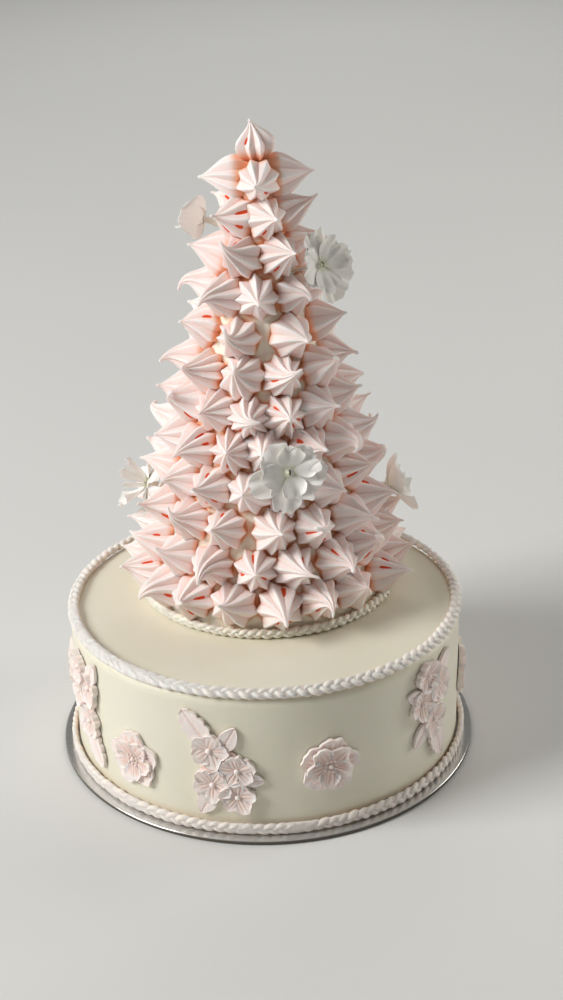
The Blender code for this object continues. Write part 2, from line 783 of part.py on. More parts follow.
def build_sprigs():
    """Moulded sprigs of blossoms and leaves on the wall, each one piece."""
    material = make_material("pink_sprig_icing", ORNAMENT_PINK, 0.6)
    points, faces = sprig_parts()
    for number, (azimuth, height, turn) in enumerate(SPRIGS, start=1):
        name = "pink_sprig_%d" % number
        mesh = mesh_from(name, on_wall(points, azimuth, height, turn), faces)
        add_object(name, mesh, material)


clear_scene()
build_board()
build_cake()
build_braids()
build_tower()
build_crown()
build_flowers()
build_blossoms()
build_sprigs()
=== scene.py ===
# %% [markdown]
# # A meringue tower on its cake
#
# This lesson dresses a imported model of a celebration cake. A cone of cream is covered with piped
# pink meringue kisses and a few white blossoms. It stands on a round cake with an ivory covering,
# icing braids and moulded flowers, on a silver board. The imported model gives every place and
# size, and the cells below give each piece its real surface.

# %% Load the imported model
import math
import random

import bpy
import numpy as np
from mathutils import Matrix, Vector


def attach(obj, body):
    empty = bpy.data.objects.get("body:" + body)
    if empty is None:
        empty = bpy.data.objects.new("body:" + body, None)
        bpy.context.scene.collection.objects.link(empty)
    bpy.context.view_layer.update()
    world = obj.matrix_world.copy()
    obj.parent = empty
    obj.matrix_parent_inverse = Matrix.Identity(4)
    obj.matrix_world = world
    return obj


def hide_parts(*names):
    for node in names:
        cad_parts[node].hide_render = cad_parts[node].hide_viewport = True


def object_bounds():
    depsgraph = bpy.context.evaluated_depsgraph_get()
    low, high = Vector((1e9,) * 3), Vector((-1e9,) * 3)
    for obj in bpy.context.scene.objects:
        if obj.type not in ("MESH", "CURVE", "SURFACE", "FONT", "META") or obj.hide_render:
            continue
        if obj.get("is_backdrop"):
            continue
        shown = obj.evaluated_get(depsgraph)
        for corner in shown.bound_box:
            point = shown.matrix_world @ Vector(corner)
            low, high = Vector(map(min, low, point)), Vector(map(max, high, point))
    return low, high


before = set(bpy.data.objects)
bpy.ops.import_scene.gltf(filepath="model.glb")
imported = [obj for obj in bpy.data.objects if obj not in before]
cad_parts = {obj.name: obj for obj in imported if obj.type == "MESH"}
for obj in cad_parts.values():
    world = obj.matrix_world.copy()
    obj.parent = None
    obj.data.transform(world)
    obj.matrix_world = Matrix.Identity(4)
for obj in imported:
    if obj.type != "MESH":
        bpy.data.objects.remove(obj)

MM = 0.001
GAP = 0.3 * MM
cad_low, cad_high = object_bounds()
print("packed model:", len(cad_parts), "nodes, from", tuple(cad_low), "to", tuple(cad_high))

# %% [markdown]
# ## Camera
#
# The picture was taken from a little above the tower's tip, and looks down on the cake. The
# camera is turned by three angles: pan, tilt and a slight roll. Its matrix is put together from
# the three directions that these angles give, because that is easier to read than Euler angles.

# %% Place the camera
CAMERA_PLACE = Vector((0.0, -0.9906, 0.6367))
CAMERA_PAN = math.radians(0.73)
CAMERA_TILT = math.radians(25.24)
CAMERA_ROLL = math.radians(-1.31)
FOCAL_SHARE = 1.6843
SENSOR_MM = 36.0


def camera_matrix(place, pan, tilt, roll):
    """Matrix of a camera that looks along pan and tilt below the horizon, then rolls.

    Forward is (sin pan cos tilt, cos pan cos tilt, -sin tilt); right is forward x Z; the roll
    turns right and up about forward.
    """
    level = math.cos(tilt)
    forward = Vector((math.sin(pan) * level, math.cos(pan) * level, -math.sin(tilt)))
    right = forward.cross(Vector((0.0, 0.0, 1.0))).normalized()
    up = right.cross(forward)
    across = right * math.cos(roll) + up * math.sin(roll)
    upward = up * math.cos(roll) - right * math.sin(roll)
    matrix = Matrix((across, upward, -forward)).transposed().to_4x4()
    matrix.translation = place
    return matrix


camera = bpy.data.objects.new("camera", bpy.data.cameras.new("camera"))
camera.data.sensor_fit = "AUTO"
camera.data.sensor_width = SENSOR_MM
camera.data.lens = FOCAL_SHARE * SENSOR_MM
camera.matrix_world = camera_matrix(CAMERA_PLACE, CAMERA_PAN, CAMERA_TILT, CAMERA_ROLL)
bpy.context.scene.collection.objects.link(camera)
bpy.context.scene.camera = camera
print("camera lens:", round(camera.data.lens, 2), "mm")

# %% [markdown]
# ## Shells
#
# Every piece here is a surface over a grid of numbers. A shell is kept as plain arrays: points,
# faces with four corners, faces with three, and marks. A mark is one number for each point, such
# as how near it is to a ridge, and a material reads it later as an attribute. Most pieces are a
# stack of rings with a pole at each end.

# %% Shell of rings
def outward(points, quads, fans, marks):
    """Closed shell whose faces point outwards.

    The sum of a . (b x c) / 6 over its triangles is its volume, and a negative one means that
    the faces point inwards, so their corners are taken the other way round.
    """
    thirds = np.concatenate([quads[:, [0, 1, 2]], quads[:, [0, 2, 3]], fans])
    a, b, c = (points[thirds[:, corner]] for corner in range(3))
    if np.einsum("ij,ij->i", a, np.cross(b, c)).sum() < 0:
        quads, fans = quads[:, ::-1], fans[:, ::-1]
    return {"points": points, "quads": quads, "fans": fans, "marks": marks}


def ring_stack(rings, first, last, **marks):
    """Shell of closed rings (rows, columns, 3), with a pole point before and after them.

    Each mark spreads over (rows, columns); a pole takes the mean of the ring beside it.
    """
    rows, columns = rings.shape[:2]
    points = np.concatenate([rings.reshape(-1, 3), [first], [last]])
    index = np.arange(rows * columns).reshape(rows, columns)
    beside = np.roll(index, -1, axis=1)
    quads = np.stack([index[:-1], beside[:-1], beside[1:], index[1:]], -1).reshape(-1, 4)
    pole = np.full(columns, rows * columns)
    fans = np.concatenate([
        np.stack([pole, beside[0], index[0]], -1),
        np.stack([pole + 1, index[-1], beside[-1]], -1),
    ])
    values = {}
    for name, mark in marks.items():
        grid = np.broadcast_to(mark, (rows, columns))
        values[name] = np.concatenate([grid.ravel(), [grid[0].mean()], [grid[-1].mean()]])
    return outward(points, quads, fans, values)


print("a shell keeps:", *ring_stack(np.zeros((2, 3, 3)), (0, 0, 0), (0, 0, 0)))

# %% [markdown]
# A shell becomes a mesh in one go, because its arrays are handed over whole, which is far faster
# than point by point. The piece is then parented to the body it rides on, and the imported nodes
# that it stands for are hidden.

# %% Pieces from shells
def put_together(shells):
    """One shell from many, each one's corner numbers shifted past the last one's."""
    starts = np.cumsum([0] + [len(shell["points"]) for shell in shells[:-1]])
    joined = {"points": np.concatenate([shell["points"] for shell in shells])}
    for kind in ("quads", "fans"):
        joined[kind] = np.concatenate([shell[kind] + start for shell, start in zip(shells, starts)])
    joined["marks"] = {name: np.concatenate([shell["marks"][name] for shell in shells])
                       for name in shells[0]["marks"]}
    return joined


def add_piece(name, shell, material, nodes, crease=None):
    """Make one shown piece of a shell, which stands for CAD nodes and rides on the only body.

    Edges that are bent by more than the crease, in degrees, stay sharp.
    """
    mesh = bpy.data.meshes.new(name)
    quads, fans = shell["quads"], shell["fans"]
    corners = np.concatenate([quads.ravel(), fans.ravel()])
    starts = np.concatenate([4 * np.arange(len(quads)), 4 * len(quads) + 3 * np.arange(len(fans))])
    mesh.vertices.add(len(shell["points"]))
    mesh.vertices.foreach_set("co", shell["points"].astype(np.float32).ravel())
    mesh.loops.add(len(corners))
    mesh.loops.foreach_set("vertex_index", corners.astype(np.int32))
    mesh.polygons.add(len(starts))
    mesh.polygons.foreach_set("loop_start", starts.astype(np.int32))
    mesh.update(calc_edges=True)
    for label, values in shell["marks"].items():
        mark = mesh.attributes.new(label, "FLOAT", "POINT")
        mark.data.foreach_set("value", values.astype(np.float32))
    mesh.shade_smooth()
    if crease:
        mesh.set_sharp_from_angle(angle=math.radians(crease))
    mesh.materials.append(material)
    piece = bpy.data.objects.new(name, mesh)
    bpy.context.scene.collection.objects.link(piece)
    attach(piece, "root")
    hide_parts(*nodes)
    print(f"{name}: {2 * len(quads) + len(fans)} triangles")


print("packed nodes to stand for:", len(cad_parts))

# %% [markdown]
# ## Material tools
#
# A node is made with its settings and inputs in one call, so that a material reads like a
# recipe: colours are mixed by shares, and the shares come from marks and from noise.

# %% Node helpers
def add_node(tree, kind, inputs=None, **settings):
    """Add a shader node; an input is a value, or the output socket of another node."""
    node = tree.nodes.new(kind)
    for name, value in settings.items():
        setattr(node, name, value)
    for key, value in (inputs or {}).items():
        if isinstance(value, bpy.types.NodeSocket):
            tree.links.new(value, node.inputs[key])
        else:
            node.inputs[key].default_value = value
    return node


def mixed(tree, share, first, second):
    """Colour between two colours: the first where the share is 0, the second where it is 1."""
    node = add_node(tree, "ShaderNodeMix", {0: share, 6: first, 7: second}, data_type="RGBA")
    return node.outputs[2]


def reshaped(tree, value, start, end):
    """Share that rises smoothly from 0 to 1 while the value goes from the start to the end."""
    node = add_node(tree, "ShaderNodeMapRange", {
        "Value": value, "From Min": start, "From Max": end}, interpolation_type="SMOOTHSTEP")
    return node.outputs["Result"]


def worked_out(tree, operation, first, second):
    """Product or difference of two values, as the operation says, kept between 0 and 1."""
    node = add_node(tree, "ShaderNodeMath", {0: first, 1: second},
                    operation=operation, use_clamp=True)
    return node.outputs[0]


def read_mark(tree, name):
    """Output of a mark that the piece's points carry."""
    return add_node(tree, "ShaderNodeAttribute", attribute_name=name).outputs["Fac"]


print("node helpers:", mixed.__name__, reshaped.__name__, worked_out.__name__)

# %% [markdown]
# Icing is never one flat colour: its tone drifts over a few centimetres, and its skin has a fine
# grain. That effect is a node group, built once and used by every icing. A material starts with
# it, and ends with a bump and with the glow of light that wanders into the icing.

# %% The icing group
def make_icing_group():
    """Group that gives a slow drift of tone and a fine grain, both as noise on a position."""
    group = bpy.data.node_groups.new("icing_skin", "ShaderNodeTree")
    group.interface.new_socket("Position", in_out="INPUT", socket_type="NodeSocketVector")
    start = group.nodes.new("NodeGroupInput")
    end = group.nodes.new("NodeGroupOutput")
    for name, scale, detail in (("Drift", 30.0, 3.0), ("Grain", 900.0, 4.0)):
        size = f"{name} Scale"
        socket = group.interface.new_socket(size, in_out="INPUT", socket_type="NodeSocketFloat")
        socket.default_value = scale
        group.interface.new_socket(name, in_out="OUTPUT", socket_type="NodeSocketFloat")
        noise = add_node(group, "ShaderNodeTexNoise", {
            "Vector": start.outputs["Position"], "Scale": start.outputs[size], "Detail": detail})
        group.links.new(noise.outputs["Fac"], end.inputs[name])
    return group


icing_skin = make_icing_group()


def start_material(name, roughness, drift_scale, grain_scale):
    """New material with its shader, and the icing group on the object's own coordinates."""
    material = bpy.data.materials.new(name)
    material.use_nodes = True
    tree = material.node_tree
    shader = tree.nodes["Principled BSDF"]
    shader.inputs["Roughness"].default_value = roughness
    place = add_node(tree, "ShaderNodeTexCoord").outputs["Object"]
    skin = add_node(tree, "ShaderNodeGroup", node_tree=icing_skin)
    tree.links.new(place, skin.inputs["Position"])
    skin.inputs["Drift Scale"].default_value = drift_scale
    skin.inputs["Grain Scale"].default_value = grain_scale
    return material, tree, shader, skin


def finish_material(tree, shader, colour, height, strength, distance, glow=None):
    """Give the shader its colour, a bump of the height, and a glow where light wanders in.

    A glow is its weight, how far red, green and blue go, and the scale of that.
    """
    tree.links.new(colour, shader.inputs["Base Color"])
    bump = add_node(tree, "ShaderNodeBump", {
        "Height": height, "Strength": strength, "Distance": distance})
    tree.links.new(bump.outputs["Normal"], shader.inputs["Normal"])
    if glow:
        for name, value in zip(("Weight", "Radius", "Scale"), glow):
            shader.inputs[f"Subsurface {name}"].default_value = value


print("group made:", icing_skin.name)

# %% [markdown]
# ## The cream cone and the plan of its kisses
#
# A baker spreads cream over a cone and presses each kiss into it, row by row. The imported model
# has the same rows, so the plan is drawn again here with the same seed and the same rules: every
# fine kiss lands where the plain one stood. A kiss beside a blossom's stem moves aside, and one
# under its petals is shorter.

# %% The cone and its blossoms
CAKE_TOP = 100.0 * MM
TOWER_AXIS = (2.3 * MM, 25.5 * MM)
TOWER_FOOT_RADIUS = 80.0 * MM
TOWER_TAPER = 0.27
TOWER_NECK_RADIUS = 9.0 * MM
TOWER_NECK_TOP = 383.0 * MM
TOWER_TOP = 388.0 * MM
# For each blossom: azimuth and height of the stem's foot, the petals' reach, the stem's length,
# the rise of the petals' rim, and the azimuth that the blossom faces.
FLOWERS = tuple((azimuth, *(size * MM for size in sizes), face) for azimuth, *sizes, face in (
    (12, 204, 25, 19, 4, 12), (69, 319, 22, 20, 4, 42), (-114, 341, 16, 27, 5, -55),
    (-92, 168, 19, 16, 11, -92), (94, 160, 20, 19, 11, 92), (158, 258, 22, 18, 6, 158),
    (-152, 196, 23, 18, 6, -152)))


def tower_radius(height):
    """Radius of the cream cone at a height: it falls by the taper down to the neck's radius."""
    return max(TOWER_FOOT_RADIUS - TOWER_TAPER * (height - CAKE_TOP), TOWER_NECK_RADIUS)


def tower_frame(azimuth, height):
    """Frame on the cone's surface: its Z points out of the cream, and its Y up the tower."""
    angle = math.radians(azimuth)
    out = Vector((math.sin(angle), -math.cos(angle), 0.0))
    radius = tower_radius(height)
    slope = math.atan(TOWER_TAPER) if radius > TOWER_NECK_RADIUS else 0.0
    normal = out * math.cos(slope) + Vector((0.0, 0.0, math.sin(slope)))
    across = Vector((0.0, 0.0, 1.0)).cross(out)
    place = Matrix((across, normal.cross(across), normal)).transposed().to_4x4()
    place.translation = Vector((*TOWER_AXIS, height)) + out * radius
    return place


def head_frame(azimuth, height, stand_off, face):
    """Frame of a blossom at the end of its stem: its Z points where the blossom faces."""
    place = tower_frame(face, height)
    place.translation = tower_frame(azimuth, height) @ Vector((0.0, 0.0, stand_off))
    return place


print("blossoms on the tower:", len(FLOWERS))

# %% [markdown]
# A kiss has to keep clear of the blossoms. It is probed along its axis, in the frame of each stem
# and of each head, so both tests are about distances from one axis.

# %% Keep clear of the blossoms
KISS_BELLY_RISE = 4.5 * MM
STEM_RADIUS = 2.4 * MM
CALYX_RADIUS = 5.0 * MM
STEM_CLEARANCE = 1.2 * MM
LEAST_STEM_SHARE = 0.6
PETAL_CLEARANCE = 1.0 * MM
UNDER_PETAL_CLEARANCE = 1.5 * MM
OVER_PETAL_ROOM = 5.0 * MM
GIRTH_RISE_SHARE = 0.45
PROBE_STEP = 1.0 * MM


def meets_stem(spot, girth, stand_off):
    """Tell whether a spot with this girth, in the stem's frame, touches the stem."""
    if not 0 < spot.z < stand_off:
        return False
    stem = STEM_RADIUS + (CALYX_RADIUS - STEM_RADIUS) * spot.z / stand_off
    return math.hypot(spot.x, spot.y) - girth < stem + GAP


def meets_petals(spot, girth, reach, petal_rise):
    """Tell whether a spot with this girth, in the blossom's frame, meets its petals.

    The petals' underside rises evenly from the calyx to the rim.
    """
    aside = math.hypot(spot.x, spot.y) - girth
    if aside > reach + PETAL_CLEARANCE:
        return False
    share = min(max((aside - CALYX_RADIUS) / (reach - CALYX_RADIUS), 0), 1)
    height = spot.z - petal_rise * share
    spread = GIRTH_RISE_SHARE * girth
    return -UNDER_PETAL_CLEARANCE - spread < height < OVER_PETAL_ROOM + spread


def meets_flower(place, radius, height):
    """Tell whether a kiss of this height would touch a flower, probed along its axis."""
    probes = int((height - KISS_BELLY_RISE) / PROBE_STEP) + 1
    for azimuth, flower_height, reach, stand_off, petal_rise, face in FLOWERS:
        into_stem = tower_frame(azimuth, flower_height).inverted() @ place
        into_head = head_frame(azimuth, flower_height, stand_off, face).inverted() @ place
        for probe in range(probes):
            rise = KISS_BELLY_RISE + probe * PROBE_STEP
            girth = radius * (height - rise) / (height - KISS_BELLY_RISE)
            spot = Vector((0.0, 0.0, rise))
            if meets_stem(into_stem @ spot, girth, stand_off):
                return True
            if meets_petals(into_head @ spot, girth, reach, petal_rise):
                return True
    return False


def beside_stems(azimuth, height, radius):
    """Move a kiss aside from a flower's stem; None where it would have to move far."""
    for flower_azimuth, flower_height, *_blossom in FLOWERS:
        cone_radius = tower_radius(height)
        turn = math.remainder(math.radians(azimuth - flower_azimuth), 2 * math.pi)
        across = turn * cone_radius
        along = (height - flower_height) * math.hypot(1, TOWER_TAPER)
        distance = math.hypot(across, along)
        wanted = radius + STEM_RADIUS + STEM_CLEARANCE
        if distance < LEAST_STEM_SHARE * wanted:
            return None
        if distance < wanted:
            stretch = wanted / distance
            azimuth = flower_azimuth + math.degrees(across * stretch / cone_radius)
            height = flower_height + (height - flower_height) * stretch
    return azimuth, height


print("kisses keep", round(STEM_CLEARANCE / MM, 1), "mm from a stem")

# %% [markdown]
# Each row goes evenly round the cone from its first kiss. Small draws shift, tilt and size every
# kiss as a hand does, and they come from one seed in a fixed order.

# %% Draw the plan
# For each row of kisses: how many it has, and the first one's azimuth in degrees.
KISS_ROWS = ((18, 4), (17, 14), (15, 2), (15, 14), (14, 3), (13, -11),
             (10, 18), (7, 30), (8, -2), (6, 31), (5, 15), (4, 6))
FIRST_ROW_RISE = 18.0 * MM
ROW_PITCH = 23.5 * MM
KISS_RADIUS_LOW = 13.6 * MM
KISS_RADIUS_HIGH = 12.2 * MM
KISS_HEIGHT = 26.0 * MM
KISS_LEAST_HEIGHT = 13.0 * MM
KISS_SINK = 1.5 * MM
KISS_SINK_CURVE = 45.0 * MM * MM
TIP_BEND = 3.5 * MM
KISS_SEED = 5
AZIMUTH_SLIP = 2.0
HEIGHT_SLIP = 2.0 * MM
RADIUS_SPREAD = (0.94, 1.03)
HEIGHT_SPREAD = (0.92, 1.06)
BEND_SPREAD = (0.1, 1.0)
TILT_SLIP = 6.0
SWING_SLIP = 5.0


def kiss_plan():
    """List every kiss as its row, frame, radius, height, sink and bend of the tip."""
    draw = random.Random(KISS_SEED)
    plan = []
    for row, (count, first_azimuth) in enumerate(KISS_ROWS):
        share = row / (len(KISS_ROWS) - 1)
        row_height = CAKE_TOP + FIRST_ROW_RISE + row * ROW_PITCH
        row_radius = KISS_RADIUS_LOW + (KISS_RADIUS_HIGH - KISS_RADIUS_LOW) * share
        for step in range(count):
            slip = draw.uniform(-AZIMUTH_SLIP, AZIMUTH_SLIP)
            azimuth = first_azimuth + 360 * step / count + slip
            height = row_height + draw.uniform(0, HEIGHT_SLIP)
            radius = row_radius * draw.uniform(*RADIUS_SPREAD)
            length = KISS_HEIGHT * draw.uniform(*HEIGHT_SPREAD)
            bend_angle = draw.uniform(0, 2 * math.pi)
            bend_reach = TIP_BEND * draw.uniform(*BEND_SPREAD)
            spin = Matrix.Rotation(draw.uniform(0, 2 * math.pi), 4, "Z")
            tilt = Matrix.Rotation(math.radians(draw.uniform(-TILT_SLIP, TILT_SLIP)), 4, "X")
            swing = Matrix.Rotation(math.radians(draw.uniform(-SWING_SLIP, SWING_SLIP)), 4, "Y")
            place = beside_stems(azimuth, height, radius)
            if place is None:
                continue
            spot = tower_frame(*place) @ tilt @ swing @ spin
            while length > KISS_LEAST_HEIGHT and meets_flower(spot, radius, length):
                length -= PROBE_STEP
            if meets_flower(spot, radius, length):
                continue
            sink = KISS_SINK + KISS_SINK_CURVE / tower_radius(height)
            bend = (bend_reach * math.cos(bend_angle), bend_reach * math.sin(bend_angle))
            plan.append((row, spot, radius, length, sink, bend))
    return plan


plan = kiss_plan()
print("kisses in the plan:", len(plan))

# %% [markdown]
# ## Meringue material
#
# Baked meringue is matt and pale, and light wanders a little way into it. Its colour also holds
# painted light: the hollows are a deeper, warmer pink as painted shade, the ridges almost white
# as a painted highlight, and the kiss is warm orange low down as painted shade and glow. The marks
# "ridge", "rise" and "tone" say where a point lies on its kiss and how pale that kiss is. A few
# grooves have narrow deep slits, which the mark "split" gives, and their red is a painted glow.

# %% Make the meringue
# The white paints the highlight on the ridges, the paler tip and each kiss's own paler tone.
HIGHLIGHT_AND_PALE_WHITE = (0.96, 0.865, 0.85, 1.0)
FLANK_PINK = (0.98, 0.805, 0.765, 1.0)
# Painted shade in the hollows and their creases.
GROOVE_SHADE_PINK = (0.88, 0.55, 0.48, 1.0)
# Painted shade and glow: warm orange low down on each kiss.
LOW_SHADE_GLOW_PINK = (0.92, 0.43, 0.23, 1.0)
# Painted glow of light in the deep slits.
SPLIT_GLOW_RED = (0.85, 0.10, 0.02, 1.0)
LOW_SHADE_SHARE = 1.6
MERINGUE_GLOW = (0.5, (1.0, 0.55, 0.45), 3.0 * MM)


def make_meringue():
    """Pink meringue: painted highlight on ridges, paler tip, painted warm shade low down, red glow
    in splits.
    """
    material, tree, shader, skin = start_material("pink_meringue", 0.55, 45.0, 1400.0)
    ridge = read_mark(tree, "ridge")
    # Painted shade: a deeper pink in the hollows; painted highlight: white on the ridges.
    groove = mixed(tree, reshaped(tree, ridge, -0.22, 0.10), GROOVE_SHADE_PINK, FLANK_PINK)
    flank = mixed(tree, reshaped(tree, ridge, 0.45, 0.90), groove, HIGHLIGHT_AND_PALE_WHITE)
    paler = mixed(tree, reshaped(tree, read_mark(tree, "tone"), 0.4, 1.8), flank, HIGHLIGHT_AND_PALE_WHITE)
    # Painted shade and glow: warm orange low down, drifting over the kiss.
    low_down = reshaped(tree, read_mark(tree, "rise"), 0.30, 0.06)
    drifting = worked_out(tree, "MULTIPLY", low_down, skin.outputs["Drift"])
    deep = worked_out(tree, "MULTIPLY", drifting, LOW_SHADE_SHARE)
    warm = mixed(tree, deep, paler, LOW_SHADE_GLOW_PINK)
    # Painted glow: red in the deep slits that the mark "split" gives.
    split = reshaped(tree, read_mark(tree, "split"), 0.28, 0.48)
    colour = mixed(tree, split, warm, SPLIT_GLOW_RED)
    finish_material(tree, shader, colour, skin.outputs["Grain"], 0.25, 0.15 * MM, MERINGUE_GLOW)
    return material


meringue = make_meringue()
print("material made:", meringue.name)

# %% [markdown]
# ## One kiss
#
# A kiss is piped from a star nozzle: seven to ten thin ridges with wide smooth hollows between
# them, a belly just above the cream, and a flank that is drawn to a thread and a small round
# blob. A star section carried along a curved line gives all of that. The line bends as in the
# plan, and some tips curl over at the end as they do when the bag is pulled away.

# %% Star section of a kiss
RIDGE_COUNTS = (7, 8, 8, 8, 9, 10)
RIDGE_STEPS = np.array([0.0, 0.04, 0.11, 0.22, 0.36, 0.45, 0.5, 0.55, 0.64, 0.78, 0.89, 0.96])
RIDGE_SLIP = 0.09
RIDGE_REACH_SPREAD = 0.04
RIDGE_NOSE = 0.10
BELLY_CREST_POWER = 2.1
CREST_POWER_FALL = 0.8
CREASE_DEPTH = 0.20
CREASE_WIDTH = 0.10
SPLIT_SHARE = 0.5
SPLIT_MIDDLES = (0.18, 0.42)
SPLIT_HALVES = (0.11, 0.20)
SPLIT_ASIDE = (0.0, 0.05, 0.14, 0.2)
SPLIT_SIDES = (1.0, 0.95, 0.32, 0.0)


def star_section(draw, flank):
    """Angle, reach, crest, groove number and offset round a star section.

    The crest is (1 - x')^p, where x is 0 on a ridge and 1 in a groove, and
    x' = (sqrt(x^2 + n^2) - n) / (sqrt(1 + n^2) - n) rounds the ridge's nose. The power p falls
    along the flank: thin ridges and wide hollows at the belly, plainer ones near the tip. A
    narrow crease runs along the middle of each hollow. Ridges are a little uneven.
    """
    ridges = int(draw.choice(RIDGE_COUNTS))
    ridge = np.repeat(np.arange(ridges), len(RIDGE_STEPS))
    offset = np.tile(RIDGE_STEPS, ridges)
    following = (ridge + 1) % ridges
    slip = draw.normal(0, RIDGE_SLIP, ridges)
    reach = 1 + draw.normal(0, RIDGE_REACH_SPREAD, ridges)
    slipped = offset + slip[ridge] * (1 - offset) + slip[following] * offset
    angle = 2 * np.pi / ridges * (ridge + slipped)
    length = reach[ridge] * (1 - offset) + reach[following] * offset
    x = 2 * np.minimum(offset, 1 - offset)
    nosed = (np.hypot(x, RIDGE_NOSE) - RIDGE_NOSE) / (math.hypot(1, RIDGE_NOSE) - RIDGE_NOSE)
    power = BELLY_CREST_POWER - CREST_POWER_FALL * flank[:, None]
    crest = np.clip(1 - nosed, 0, 1)[None, :] ** power
    crease = CREASE_DEPTH * np.exp(-((x - 1) / CREASE_WIDTH) ** 2)
    return angle, length, crest - crease, ridge, offset


def split_marks(ridge, offset, flank, draw):
    """Mark of red splits in some kisses' grooves: 1.3 (1 - u^2) along, falling off across.

    Here u goes from -1 to 1 between the two ends of the split.
    """
    marks = np.zeros((len(flank), len(ridge)))
    if draw.uniform() < SPLIT_SHARE:
        for groove in draw.choice(ridge.max() + 1, draw.integers(1, 4), replace=False):
            middle = draw.uniform(*SPLIT_MIDDLES)
            half = draw.uniform(*SPLIT_HALVES)
            along = np.clip(1.3 * (1 - ((flank - middle) / half) ** 2), 0, 1)
            across = np.interp(np.abs(offset - 0.5), SPLIT_ASIDE, SPLIT_SIDES)
            marks = np.maximum(marks, along[:, None] * (across * (ridge == groove)))
    return marks


print("points round a kiss:", [count * len(RIDGE_STEPS) for count in sorted(set(RIDGE_COUNTS))])

# %% [markdown]
# The middle line of a kiss leaves the cream upright. Each ring of the star is turned until it
# faces along that line, by the shortest turn, so that the ridges don't twist where the tip curls.

# %% Middle line of a kiss
MOST_CURL = math.radians(150)
CURL_START = 0.56
CURL_POWER = 1.7
CURL_SLIP = 0.7
CURL_STRETCH = 0.25
BEND_POWER = 1.5
FOOT_STEPS = np.array([0.0, 0.35, 0.7])
FLANK_STEPS = np.array([0.0, 0.06, 0.13, 0.21, 0.30, 0.39, 0.48, 0.57, 0.65, 0.72,
                        0.78, 0.835, 0.88, 0.92, 0.955, 0.982, 0.997])


def turned_along(across, along, tangent):
    """Offsets (x, y) of each ring, turned so that the ring's normal is the line's tangent.

    With k = Z x t, v' = v cos + k x v + k (k . v) / (1 + cos), where cos is the tangent's Z.
    """
    tx, ty, tz = (tangent[:, axis, None] for axis in range(3))
    shared = (-ty * across + tx * along) / (1 + tz)
    return np.stack([
        across * tz - ty * shared,
        along * tz + tx * shared,
        -tx * across - ty * along,
    ], -1)


def tip_line(rise, flank, bend, curl, draw):
    """Middle line of a kiss and its directions: it bends as planned, and its tip may curl over.

    The direction leans from the kiss's axis by the curl times u^1.7, where u is the share of the
    way from CURL_START to the tip. The line is the running sum of direction times step.
    """
    lean = curl * MOST_CURL * draw.uniform(0.0, 1.0) ** 2.0
    way = math.atan2(bend[1], bend[0]) + draw.uniform(-CURL_SLIP, CURL_SLIP)
    angle = lean * np.clip((flank - CURL_START) / (1 - CURL_START), 0, 1) ** CURL_POWER
    step = np.diff(rise, prepend=rise[0]) * (1 + CURL_STRETCH * lean * (flank > CURL_START))
    side = np.cumsum(step * np.sin(angle))
    line = np.stack([
        bend[0] * flank ** BEND_POWER + side * math.cos(way),
        bend[1] * flank ** BEND_POWER + side * math.sin(way),
        rise[0] + np.cumsum(step * np.cos(angle)),
    ], -1)
    tangent = np.gradient(line, axis=0)
    tangent /= np.linalg.norm(tangent, axis=1)[:, None]
    tangent[:len(FOOT_STEPS) + 1] = (0, 0, 1)
    return line, tangent


print("rings along a kiss:", len(FOOT_STEPS) + len(FLANK_STEPS))

# %% [markdown]
# The girth joins a bell, which the pressure on the bag gives, with the thread that is left when
# the bag is pulled away. The bell's power differs from kiss to kiss: a low one is plump, a high
# one is slim.

# %% Shell of a kiss
KISS_FULLNESS = 1.18
FOOT_SHARE = 0.72
BELL_POWERS = (1.25, 2.1)
CONE_SHARE = 0.15
THREAD_RADIUS = 0.68 * MM
THREAD_SPREAD = (0.8, 1.4)
THREAD_START = 0.45
THREAD_GROWTH = 0.35
BLOB_START = 0.94
BLOB_MIDDLE = 0.945
BLOB_LENGTH = 0.035
BLOB_SWELL = 0.5
BELLY_GROOVE = 0.20
FLANK_GROOVE = 0.08
GROOVE_SPREAD = (0.85, 1.15)
MOST_TWIST = 0.4
SPLIT_DEPTH = 0.5 * MM
TIP_LENGTH = 0.12 * MM


def in_frame(shell, place):
    """Put a shell in place by its frame."""
    matrix = np.array(place)
    shell["points"] = shell["points"] @ matrix[:3, :3].T + matrix[:3, 3]
    return shell


def kiss_girth(radius, flank, swell, draw):
    """Radius along a kiss, as the root of the squares of a bell and a thread.

    Bell: radius times 0.15 (1 - w)^1.2 + 0.85 cos^k(pi w / 2), w from 0 to 1 along the flank,
    with each kiss's own power k. Thread: it grows from THREAD_START on, swells to a blob, and a
    quarter of a circle closes it.
    """
    cosine = np.cos(np.pi * flank / 2)
    bell = (CONE_SHARE * (1 - flank) ** 1.2
            + (1 - CONE_SHARE) * cosine ** draw.uniform(*BELL_POWERS))
    grown = np.clip((flank - THREAD_START) / THREAD_GROWTH, 0, 1)
    closed = np.sqrt(1 - np.clip((flank - BLOB_START) / (1 - BLOB_START), 0, 0.999) ** 2)
    blob = 1 + BLOB_SWELL * np.exp(-((flank - BLOB_MIDDLE) / BLOB_LENGTH) ** 2)
    thread = THREAD_RADIUS * draw.uniform(*THREAD_SPREAD) * grown * closed * blob
    return np.hypot(KISS_FULLNESS * radius * bell * swell, thread)


